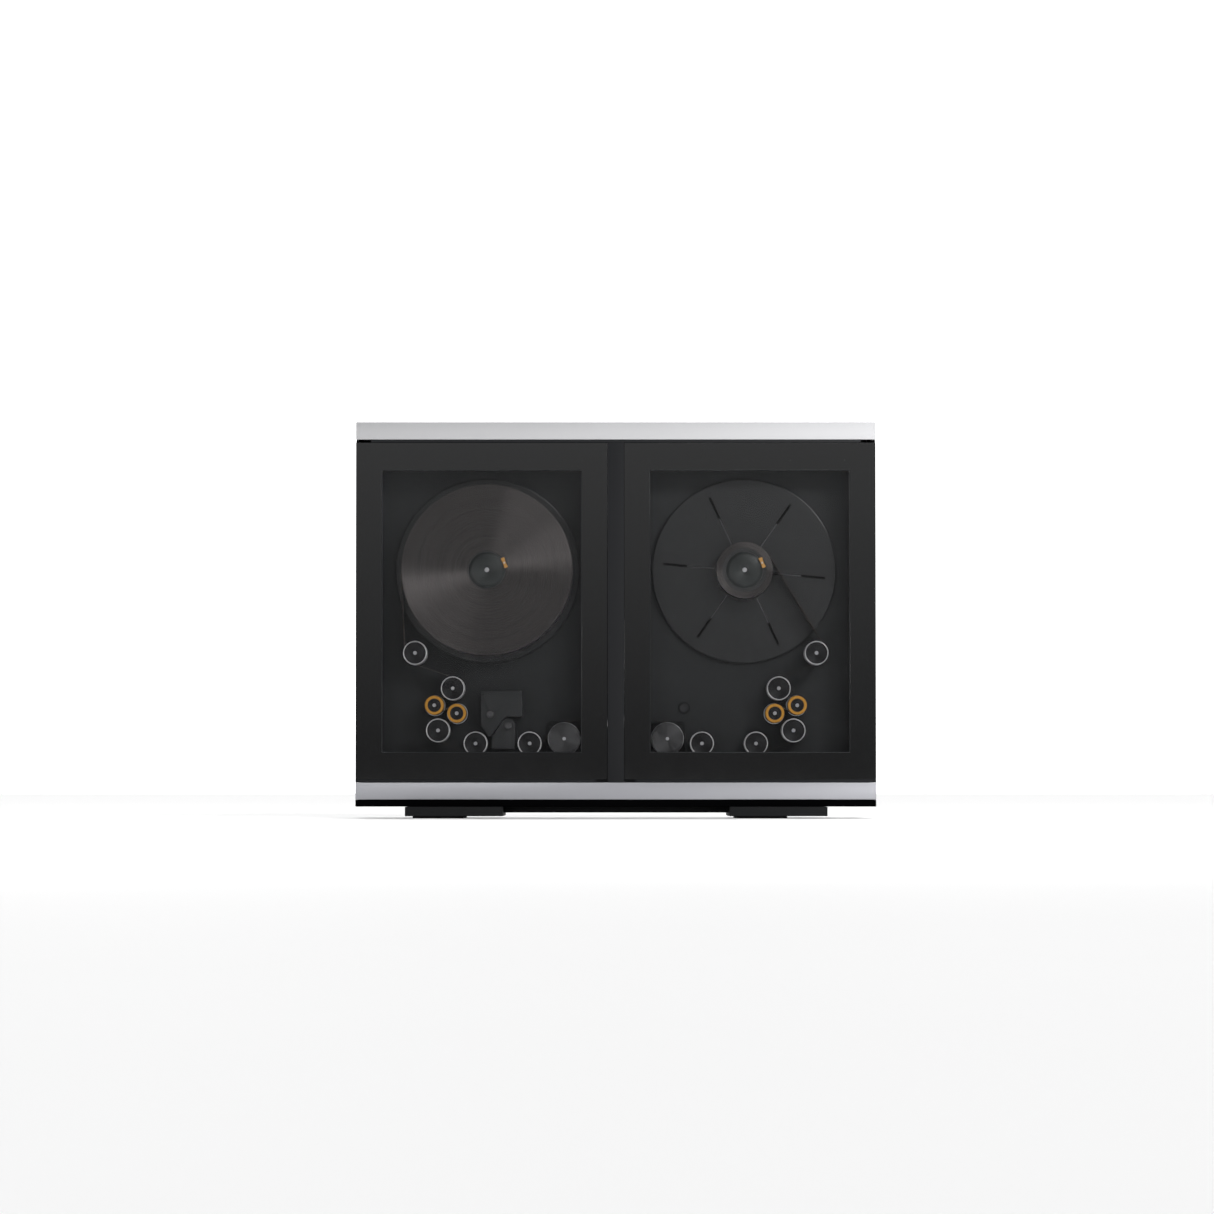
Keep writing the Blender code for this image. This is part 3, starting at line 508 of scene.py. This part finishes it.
# doors: a black printed border round a tinted window, with a thin outline where they meet
door = {
    "windowIn": 69 * mm, "windowOut": 465 * mm, "windowLow": 132 * mm, "windowHigh": 693 * mm,
    "outline": 1.0 * mm, "outlineSink": 0.15 * mm, "windowSink": 0.1 * mm, "bevel": 0.5 * mm,
    "studs": (68 * mm, 172 * mm, 261 * mm, 348 * mm, 456 * mm), "studZ": 713 * mm, "studRadius": 1.3 * mm,
    "studRise": 0.05 * mm, "studDepth": 0.3 * mm,
}


def ringSlab(name, outer, inner, near, far, finish, body, bevel, stands=()):
    # a rectangular frame between two depths; outer and inner are (low x, low z, high x, high z)
    shape = bmesh.new()
    loops = []
    for y in (near, far):
        for box in (outer, inner):
            corners = ((box[0], box[1]), (box[2], box[1]), (box[2], box[3]), (box[0], box[3]))
            loops.append([shape.verts.new((x, y, z)) for x, z in corners])
    outNear, inNear, outFar, inFar = loops
    for step in range(4):
        turn = (step + 1) % 4
        shape.faces.new((outNear[step], outNear[turn], inNear[turn], inNear[step]))
        shape.faces.new((outFar[step], inFar[step], inFar[turn], outFar[turn]))
        shape.faces.new((outNear[step], outFar[step], outFar[turn], outNear[turn]))
        shape.faces.new((inNear[step], inNear[turn], inFar[turn], inFar[step]))
    bmesh.ops.recalc_face_normals(shape, faces=shape.faces[:])
    return newPiece(name, shape, [finish], body, stands, bevel=bevel, segments=2)


def doors():
    line, r = door["outline"], door["studRadius"]
    z0, z1 = door["windowLow"], door["windowHigh"]
    for side, sign in (("left", -1), ("right", 1)):
        body, glass = f"{side}_door", f"{side}_door_glass"
        low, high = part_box(glass)
        x0, x1 = sorted((sign * door["windowIn"], sign * door["windowOut"]))
        whole, window = (low[0], low[2], high[0], high[2]), (x0, z0, x1, z1)
        hole = (x0 - line, z0 - line, x1 + line, z1 + line)
        ringSlab(f"{side}_border", whole, hole, low[1], high[1], "border", body, door["bevel"], [glass])
        sink = door["outlineSink"]
        ringSlab(f"{side}_outline", hole, window, low[1] + sink, high[1] - sink, "outline", body, 0)
        sink = door["windowSink"]
        softBlock(f"{side}_window", (x0, low[1] + sink, z0), (x1, high[1] - sink, z1), "window", body, 0)
        for index, x in enumerate(door["studs"]):
            lathe(f"{side}_stud_{index + 1}", [(0, 0, 0), (r * 0.8, 0, 0), (r, door["studDepth"], 0)],
                  ["outline"], body, at=(sign * x, low[1] - door["studRise"], door["studZ"]), count=24)


doors()
print("doors: done")


# deck plate with its pads, spindles and button bezel
deck = {
    "thickness": 4 * mm, "bevel": 0.5 * mm, "pad": 70 * mm, "padRound": 8 * mm, "padRise": 4 * mm,
    "padSink": 0.5 * mm, "padBevel": 0.8 * mm, "padScrewIn": 6 * mm,
    "spindle": 3.5 * mm, "spindleEdge": 0.5 * mm, "shoulder": 7 * mm,
    "bezel": 11.5 * mm, "bezelTop": 10.7 * mm, "bezelRise": 3.5 * mm,
}
button = {"cap": 8.8 * mm, "collar": 11.5 * mm, "collarDepth": 3 * mm}


def drivePad(side, face):
    x, _, z = middle(f"{side}_drive_roller")
    half, front = deck["pad"] / 2, face - deck["padRise"]
    outline = rounded((x - half, z - half), (x + half, z + half), deck["padRound"])
    slab(f"{side}_drive_pad", outline, front, face + deck["padSink"], "black", "cabinet", deck["padBevel"],
         ["deck_plate"])
    corner = half - deck["padScrewIn"]
    places = [(x + a * corner, front, z + b * corner) for a in (-1, 1) for b in (-1, 1)]
    screws(f"{side}_drive_pad_screws", places, "black", size=0.8)


def spindle(node, face):
    # a pin through the roller, on a shoulder that keeps it off the plate
    x, z, _, near, far = measures(node)
    r, edge, shoulder, top = deck["spindle"], deck["spindleEdge"], deck["shoulder"], far + gap
    lathe(f"{node}_spindle", [
        (0, near + 0.2 * mm, 0), (r * 0.35, near + 0.2 * mm, 0), (r * 0.4, near, 0), (r - edge, near, 0),
        (r, near + edge, 0), (r, top, 0), (shoulder, top, 1), (shoulder, face, 1),
    ], ["pin", "black"], "cabinet", ["deck_plate"], (x, 0, z), count=40)


def buttonBezel(face):
    x, _, z = middle("start_button")
    cap, out, front = button["cap"], deck["bezel"], face - deck["bezelRise"]
    lathe("button_bezel", [
        (cap + gap, face, 0), (cap + gap, front + 0.4 * mm, 0), (cap + 2 * gap, front, 0),
        (deck["bezelTop"], front, 0), (out, front + 0.9 * mm, 0), (out, face, 0),
    ], ["black"], "cabinet", ["deck_plate"], (x, 0, z))


def deckPlate():
    low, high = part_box("deck_plate")
    face = high[1] - deck["thickness"]
    softBlock("deck_panel", (low[0], face, low[2]), high, "deck", "cabinet", deck["bevel"], ["deck_plate"])
    for side in sides:
        drivePad(side, face)
        for node in nodes:
            if node.startswith(side) and "roller" in node and "drive" not in node:
                spindle(node, face)
    buttonBezel(face)


deckPlate()


# motors, with fins round the case and a dimple at the back
motor = {"fins": 7, "edge": 1.5 * mm, "finHalf": 1.2 * mm, "grooveHalf": 0.9 * mm, "groove": 2 * mm}


def motors():
    edge, top, foot, cut = motor["edge"], motor["finHalf"], motor["grooveHalf"], motor["groove"]
    for side in sides:
        for kind in ("reel_motor", "drive_motor"):
            node = f"{side}_{kind}"
            x, z, r, near, far = measures(node)
            rows = [(r * 0.3, near, 0), (r - edge, near, 0), (r, near + edge, 0)]
            run = (far - near) / (motor["fins"] + 1)
            for fin in range(1, motor["fins"] + 1):
                y = near + fin * run
                rows += [(r, y - top, 0), (r - cut, y - foot, 0), (r - cut, y + foot, 0), (r, y + top, 0)]
            rows += [(r, far - edge, 0), (r - edge, far, 0), (r * 0.4, far, 0), (r * 0.35, far - cut, 0),
                     (0, far - cut, 0)]
            lathe(f"{node}_case", rows, ["motor"], "cabinet", [node], (x, 0, z), count=72)


motors()


# camera, lens and lamp at the film gate
lens = {"focusStart": 8 * mm, "focusStep": 1.2 * mm, "focusRidges": 16}
camera = {"fins": 9, "half": 1 * mm, "out": 3 * mm, "front": 4 * mm, "back": 2 * mm, "edge": 0.4 * mm}
lamp = {"screwIn": 5 * mm}


def lensBarrel():
    # on an upright axis a depth is a height with its sign turned
    low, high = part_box("camera_lens")
    x, y, _ = middle("camera_lens")
    r, top, bottom = (high[0] - low[0]) / 2, high[2], low[2]
    rows = [(0, bottom + 6 * mm, 1), (r * 0.62, bottom + 4 * mm, 0), (r * 0.7, bottom + 0.4 * mm, 0),
            (r * 0.78, bottom, 0), (r * 0.86, bottom + 0.6 * mm, 0)]
    for ridge in range(lens["focusRidges"]):
        height = bottom + lens["focusStart"] + ridge * lens["focusStep"]
        rows.append((r * (0.9 if ridge % 2 else 0.94), height, 0))
    rows += [(r, bottom + 30 * mm, 0), (r, bottom + 44 * mm, 0), (r * 0.9, bottom + 45 * mm, 0),
             (r * 0.9, bottom + 60 * mm, 0), (r, bottom + 61 * mm, 0), (r, top, 0), (0, top, 0)]
    lathe("camera_lens_barrel", [(reach, -height, slot) for reach, height, slot in rows], ["lens", "border"],
          "cabinet", ["camera_lens"], (x, y, 0), around="z", count=64)


def optics():
    lensBarrel()
    low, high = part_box("scan_camera")
    half, out = camera["half"], camera["out"]
    for fin in range(camera["fins"]):
        z = low[2] + (fin + 1) * (high[2] - low[2]) / (camera["fins"] + 1)
        softBlock(f"camera_fin_{fin + 1}", (low[0] - out, low[1] + camera["front"], z - half),
                  (high[0] + out, high[1] - camera["back"], z + half), "black", "cabinet", camera["edge"])
    low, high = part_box("lamp_house")
    run, rise = ((low[part] + lamp["screwIn"], high[part] - lamp["screwIn"]) for part in (0, 2))
    places = [(x, low[1], z) for z in rise for x in run]
    screws("lamp_house_screws", places, size=0.8)


optics()
print("deck, motors and optics: done")


# reels
reel = {
    "shaft": 10 * mm, "disc": 5 * mm, "packBore": 36.8 * mm,
    "core": {"feed": 38.1 * mm, "takeup": 44 * mm},
}
groove = {
    "count": 6, "first": 55, "start": 60 * mm, "step": 115 * mm, "end": 163 * mm, "overlap": 1 * mm,
    "thin": 1.98 * mm, "thinFoot": 0.1 * mm, "thinDepth": 0.2 * mm, "wide": 5 * mm, "depth": 1.5 * mm,
}
hub = {"sink": 2.9 * mm, "face": 31 * mm, "pin": 4 * mm}
lever = {
    "half": 10.5 * mm, "wide": 4 * mm, "waist": 3 * mm, "bevel": 0.5 * mm,
    "pin": 2 * mm, "pinRise": 0.2 * mm, "pinEdge": 0.3 * mm, "pinDepth": 0.4 * mm,
    "ear": 3.6 * mm, "earReach": 9 * mm, "earGap": 0.6 * mm, "earDepth": 4 * mm, "earBevel": 0.3 * mm,
}


def grooveTool(x, near, z):
    # per spoke, a scored V and then a wide slot, both cut from the platter's face
    cutter = bmesh.new()
    cuts = (
        (groove["start"], groove["step"] + groove["overlap"], groove["thin"], groove["thinFoot"],
         groove["thinDepth"]),
        (groove["step"], groove["end"], groove["wide"], groove["wide"], groove["depth"]),
    )
    for spoke in range(groove["count"]):
        angle = math.radians(groove["first"] + 360 * spoke / groove["count"])
        along = Vector((math.cos(angle), 0, math.sin(angle)))
        across = Vector((-along.z, 0, along.x))
        for start, stop, wide, foot, sink in cuts:
            corners = []
            for depth, width in ((-sink, wide), (sink, foot)):
                for reach, edge in ((start, -1), (stop, -1), (stop, 1), (start, 1)):
                    place = along * reach + across * edge * width / 2 + Vector((x, near + depth, z))
                    corners.append(cutter.verts.new(place))
            for face in ((0, 1, 2, 3), (7, 6, 5, 4), (0, 4, 5, 1), (1, 5, 6, 2), (2, 6, 7, 3), (3, 7, 4, 0)):
                cutter.faces.new([corners[index] for index in face])
    bmesh.ops.recalc_face_normals(cutter, faces=cutter.faces[:])
    mesh = bpy.data.meshes.new("grooves")
    cutter.to_mesh(mesh)
    cutter.free()
    tool = bpy.data.objects.new("grooves", mesh)
    bpy.context.scene.collection.objects.link(tool)
    return tool


def cutGrooves(platter, tool, near):
    cut = platter.modifiers.new("grooves", "BOOLEAN")
    cut.operation, cut.object, cut.use_self = "DIFFERENCE", tool, True
    bpy.context.view_layer.update()
    solid = bpy.data.meshes.new_from_object(platter.evaluated_get(bpy.context.evaluated_depsgraph_get()))
    platter.modifiers.clear()
    platter.data = solid
    bpy.data.objects.remove(tool)
    solid.materials.clear()
    for finish in ("platter", "shade", "motor"):
        solid.materials.append(paint[finish])
    solid.shade_smooth()
    for face in solid.polygons:  # slots are dark inside with painted shade, scored lines bare; the mesh lies on its side
        reach, depth = math.hypot(face.center.x, face.center.y), -face.center.z - near
        inside = reach < groove["end"] + groove["overlap"]
        slot, scored = 0.3 * mm < depth < 2 * mm, 0.02 * mm < depth < 0.3 * mm
        # slot floors get the painted-shade finish, a dark colour where a deeper slot would hold shadow
        face.material_index = 1 if inside and slot else 2 if inside and scored else 0
        face.use_smooth = abs(face.normal.z) < 0.99


def platter(side, body):
    x, z, r, near, end = measures(f"{side}_platter")
    back, shaft = near + reel["disc"], reel["shaft"]
    disc = lathe(f"{side}_platter_disc", [
        (0, near, 0), (r - 2.2 * mm, near, 0), (r - 0.5 * mm, near + 0.7 * mm, 0), (r, near + 1.4 * mm, 0),
        (r, back - 0.8 * mm, 0), (r - 0.8 * mm, back, 0), (shaft, back, 0), (shaft, end, 0), (0, end, 0),
    ], ["platter"], body, [f"{side}_platter"], (x, 0, z), count=192)
    cutGrooves(disc, grooveTool(x, near, z), near)
    return x, z


def roll(side, body, x, z):
    _, _, r, near, far = measures(f"{side}_film_pack")
    bore, core = reel["packBore"], reel["core"][side]
    lathe(f"{side}_roll", [
        (bore, far, 1), (bore, near + 0.5 * mm, 1), (core, near + 0.3 * mm, 0), (core + 0.3 * mm, near, 0),
        (r - 0.4 * mm, near, 0), (r, near + 0.3 * mm, 0), (r, far, 0), (core, far, 0), (bore, far, 0),
    ], ["roll", "plastic"], body, [f"{side}_film_pack"], (x, 0, z), count=192)


def hubCap(side, body, x, z):
    _, _, _, front, far = measures(f"{side}_hub")
    near, outer, face, pin = front + hub["sink"], reel["packBore"] - gap, hub["face"], hub["pin"]
    lathe(f"{side}_hub_cap", [
        (0, near - 0.3 * mm, 1), (pin - 0.8 * mm, near - 0.3 * mm, 1), (pin, near + 0.3 * mm, 1),
        (pin + 0.6 * mm, near + 0.3 * mm, 0), (pin + 1.2 * mm, near, 0), (face - 0.8 * mm, near, 0),
        (face, near + 0.3 * mm, 0), (outer - 0.6 * mm, near + 4.2 * mm, 0), (outer, near + 4.8 * mm, 0),
        (outer, far, 0), (0, far, 0),
    ], ["hub", "pin"], body, [f"{side}_hub"], (x, 0, z), count=128)
    return near


def coreLever(side, body, x, z, hubFace):
    # a waisted arm on a pin, with an ear of the hub behind it
    node = f"{side}_core_lever"
    low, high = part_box(node)
    at = middle(node)
    centre = Vector((at[0], at[2]))
    radial = Vector((at[0] - x, at[2] - z)).normalized()
    tangent = Vector((-radial.y, radial.x))
    half, wide, waist = lever["half"], lever["wide"], lever["waist"]
    outline = []
    for end in (-1, 1):
        outline += [
            (end * half, -end * wide * 0.8), (end * half, end * wide * 0.8), (end * half * 0.93, end * wide),
            (end * half * 0.3, end * waist), (-end * half * 0.3, end * waist),
            (-end * half * 0.93, end * wide),
        ]
    outline.sort(key=lambda point: math.atan2(point[1], point[0]))
    arm = [tuple(centre + tangent * t + radial * o) for t, o in outline]
    slab(f"{side}_lever_arm", arm, low[1], high[1], "lever", f"{side}_lever", lever["bevel"], [node])
    pin, rim = lever["pin"], low[1] - lever["pinRise"]
    lathe(f"{side}_lever_pin", [
        (0, rim, 0), (pin - lever["pinEdge"], rim, 0), (pin, rim + lever["pinEdge"], 0),
        (pin, low[1] + lever["pinDepth"], 0),
    ], ["pin"], body, at=(at[0], 0, at[2]), count=32)
    ear = [centre + radial * c - tangent * s for c, s in arc((0, 0), lever["ear"], -90, 90, 16)]
    ear += [centre - radial * lever["earReach"] + tangent * lever["ear"] * s for s in (-1, 1)]
    slab(f"{side}_lever_ear", [tuple(point) for point in ear], high[1] + lever["earGap"],
         hubFace + lever["earDepth"], "hub", body, lever["earBevel"])


def reels():
    for side in sides:
        body = f"{side}_reel"
        x, z = platter(side, body)
        roll(side, body, x, z)
        hubFace = hubCap(side, body, x, z)
        coreLever(side, body, x, z, hubFace)


reels()
print("reels: done")


# rollers: every copy of a kind shares one mesh
idler = {"rim": 2.2 * mm, "dish": 2.2 * mm, "shield": 9.5 * mm, "bore": 3.8 * mm, "flange": 2.5 * mm,
         "barrelIn": 3.3 * mm, "tyre": 5.8 * mm, "tyreIn": 2 * mm}
driven = {"front": 2.5 * mm, "rear": 38.5 * mm, "back": 41 * mm, "shaft": 8 * mm, "barrelIn": 1.1 * mm}


def bearing(near):
    bore, shield, dish = idler["bore"], idler["shield"], near + idler["dish"]
    return [
        (bore, dish, 1), (bore + 2 * mm, dish, 1), (bore + 2.3 * mm, dish + 0.4 * mm, 1),
        (shield - 0.5 * mm, dish + 0.4 * mm, 1), (shield, dish, 1),
    ]


def cleanProfile(r, near, far):
    # a soft tyre with a metal flange behind it
    outer, dish, back = r - idler["tyreIn"], near + idler["dish"], far - idler["flange"]
    inner = outer - idler["tyre"]
    return [
        *bearing(near), (inner, dish, 1), (inner + 0.3 * mm, near + 0.6 * mm, 0),
        (inner + 0.9 * mm, near, 0), (outer - 0.8 * mm, near, 0), (outer, near + 0.7 * mm, 0),
        (outer, back - 0.2 * mm, 0), (outer - 0.2 * mm, back, 2), (r - 0.3 * mm, back, 2),
        (r, back + 0.3 * mm, 2), (r, far - 0.3 * mm, 2), (r - 0.3 * mm, far, 2), (idler["bore"], far, 2),
    ]


def plainProfile(r, near, far):
    # a bright rim round a dished face, and a narrower barrel between two flanges
    rim, barrel, dish = r - idler["rim"], r - idler["barrelIn"], near + idler["dish"]
    front, back = near + idler["flange"], far - idler["flange"]
    return [
        *bearing(near), (rim - 4 * mm, dish, 1), (rim - 0.3 * mm, dish - 0.9 * mm, 1),
        (rim, near + 0.4 * mm, 0), (rim + 0.4 * mm, near, 0), (r - 0.5 * mm, near, 0),
        (r, near + 0.5 * mm, 0), (r, front - 0.3 * mm, 0), (r - 0.3 * mm, front, 0),
        (barrel, front + 0.2 * mm, 2), (barrel, back - 0.2 * mm, 2), (r - 0.3 * mm, back, 3),
        (r, back + 0.3 * mm, 3), (r, far - 0.3 * mm, 3), (r - 0.3 * mm, far, 3), (idler["bore"], far, 2),
    ]


def drivenProfile(r, near, far):
    # a brushed disc on a smooth barrel, with the shaft behind
    front, rear, back = (near + driven[part] for part in ("front", "rear", "back"))
    shaft, barrel = driven["shaft"], r - driven["barrelIn"]
    return [
        (0, near, 1), (2.6 * mm, near, 1), (3.0 * mm, near + 0.4 * mm, 1), (3.4 * mm, near + 0.4 * mm, 0),
        (3.8 * mm, near + 0.1 * mm, 0), (r - 0.6 * mm, near + 0.1 * mm, 2), (r, near + 0.6 * mm, 2),
        (r, front, 3), (barrel, front, 3), (barrel, rear, 3), (r, rear, 3), (r, back, 3), (shaft, back, 3),
        (shaft, far, 3), (0, far, 3),
    ]


rollerKinds = {
    "clean": (cleanProfile, ["orange", "dish", "flange"], 80),
    "drive": (drivenProfile, ["disc", "pin", "flange", "barrel"], 128),
    "plain": (plainProfile, ["ring", "dish", "barrel", "flange"], 80),
}


def rollers():
    shared = {}
    for side in sides:
        for node in [name for name in nodes if name.startswith(side) and "roller" in name]:
            x, z, r, near, far = measures(node)
            kind = "clean" if "clean" in node else "drive" if "drive" in node else "plain"
            name, body = f"{node}_wheel", bodyOf[node]
            if kind in shared:
                lay(dress(name, shared[kind], [], body, [node]), (x, 0, z))
                continue
            profile, finishes, count = rollerKinds[kind]
            made = lathe(name, profile(r, near, far), finishes, body, [node], (x, 0, z), count=count)
            shared[kind] = made.data


rollers()
print("rollers: done")


# reader, with its two knobs, and the start button
plate = {"bevel": 0.8 * mm, "screwSize": 0.55, "leftIn": 4 * mm, "leftDown": 7.5 * mm, "rightIn": 3.5 * mm,
         "rightDown": 8 * mm}
knob = {"seat": 8 * mm, "shank": 2.5 * mm, "edge": 0.9 * mm, "dimple": 0.5 * mm}


def reader():
    refine("reader_plate", "reader", plate["bevel"])
    refine("reader_head", "reader", plate["bevel"])
    low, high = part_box("reader_plate")
    places = [(low[0] + plate["leftIn"], low[1], high[2] - plate["leftDown"]),
              (high[0] - plate["rightIn"], low[1], high[2] - plate["rightDown"])]
    screws("reader_screws", places, "black", size=plate["screwSize"])
    for name in ("upper", "lower"):
        node = f"reader_knob_{name}"
        x, z, r, near, far = measures(node)
        seat, shank, edge, dimple = near + knob["seat"], knob["shank"], knob["edge"], near + knob["dimple"]
        lathe(f"{node}_grip", [
            (0, dimple, 0), (r * 0.55, dimple, 0), (r * 0.62, near, 0), (r - edge, near, 0),
            (r, near + edge, 0, knurl), (r, seat - 0.8 * mm, 0, knurl), (r - 0.8 * mm, seat, 0),
            (shank, seat, 0), (shank, far, 0), (0, far, 0),
        ], ["knob"], bodyOf[node], [node], (x, 0, z), count=216)


def startButton():
    x, z, _, near, far = measures("start_button")
    cap, collar, seat = button["cap"], button["collar"], far - button["collarDepth"]
    lathe("button_cap", [
        (0, near + 0.7 * mm, 0), (cap * 0.5, near + 0.45 * mm, 0), (cap * 0.85, near, 0),
        (cap - 0.4 * mm, near, 0), (cap, near + 0.5 * mm, 0), (cap, seat, 0), (collar, seat, 0),
        (collar, far, 0), (0, far, 0),
    ], ["button"], "start_button", ["start_button"], (x, 0, z))


reader()
startButton()
for slot in nodes["film_web"].material_slots:
    slot.material = paint["film"]
print("reader, button and film: done")


# studio: pale floor, graded surroundings and four softboxes
lights = {
    "top_light": {"place": (1.0, -3.0, 2.6), "aim": (0, 0, 0.45), "size": (1.8, 0.6), "power": 45},
    "key_light": {"place": (2.1, -2.3, 2.1), "aim": (0, 0, 0.45), "size": (0.7, 0.7), "power": 80},
    "left_light": {"place": (-1.6, -4.0, 0.47), "aim": (-0.257, 0, 0.5), "size": (0.35, 0.24), "power": 12},
    "right_light": {"place": (1.6, -4.0, 1.08), "aim": (0.0, 0, 0.5), "size": (0.35, 0.32), "power": 12},
}
sky = {  # start, end, brightness at the start, brightness at the end
    "rise": (0.0, 0.13, 0.22, 1.0),
    "fall": (0.14, 0.3, 1.0, 0.2),
    "behind": (-0.1, 0.3, 0.0, 1.9),
}
ground = {"half": 30, "dark": (0.90, 0.90, 0.90), "light": (0.92, 0.92, 0.92), "roughness": 0.7}
view = {"distance": 7.0, "height": 0.06, "tilt": 1.5, "width": 2.413, "middleX": -0.0175, "middleZ": 0.42,
        "sensor": 36}


def softbox(name, place, aim, size, power):
    data = bpy.data.lights.new(name, "AREA")
    data.shape, data.size, data.size_y, data.energy = "RECTANGLE", *size, power
    made = bpy.data.objects.new(name, data)
    made.location = place
    made.rotation_euler = (Vector(aim) - Vector(place)).to_track_quat("-Z", "Y").to_euler()
    bpy.context.scene.collection.objects.link(made)


def floor():
    shape = bmesh.new()
    bmesh.ops.create_grid(shape, x_segments=2, y_segments=2, size=ground["half"])
    mesh = bpy.data.meshes.new("floor")
    shape.to_mesh(mesh)
    shape.free()
    made = bpy.data.objects.new("floor", mesh)
    bpy.context.scene.collection.objects.link(made)
    pale = Finish("pale_floor", Roughness=ground["roughness"])
    pale.set(Base_Color=pale.mix(pale.noise(2), ground["dark"], ground["light"]))
    mesh.materials.append(pale.material)


def surroundings():
    # a bright band low in front, for the gloss, and white behind the object
    world = bpy.data.worlds.new("studio")
    bpy.context.scene.world = world
    world.use_nodes = True
    graph = Graph(world.node_tree)
    _, depth, height = graph.axes(graph.add("ShaderNodeTexCoord", output="Generated"))
    rise = graph.ramp(height, *sky["rise"])
    front = rise.math("MINIMUM", rise, graph.ramp(height, *sky["fall"]))
    back = world.node_tree.nodes["Background"]
    graph.feed(back.inputs["Color"], front.math("MAXIMUM", front, graph.ramp(depth, *sky["behind"])))
    graph.feed(back.inputs["Strength"], 1.0)


def viewpoint():
    data = bpy.data.cameras.new("camera")
    data.sensor_width = view["sensor"]
    data.lens = view["sensor"] * view["distance"] / view["width"]
    tilt = math.radians(view["tilt"])
    seen = view["height"] + view["distance"] * math.tan(tilt)
    data.shift_y = (view["middleZ"] - seen) / view["width"]
    made = bpy.data.objects.new("camera", data)
    made.location = (view["middleX"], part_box("left_door_glass")[0][1] - view["distance"], view["height"])
    made.rotation_euler = (math.pi / 2 + tilt, 0, 0)
    bpy.context.scene.collection.objects.link(made)
    bpy.context.scene.camera = made


floor()
surroundings()
for name, light in lights.items():
    softbox(name, **light)
bpy.context.scene.view_settings.view_transform = "Standard"
viewpoint()
print("studio: done")

bpy.context.view_layer.update()
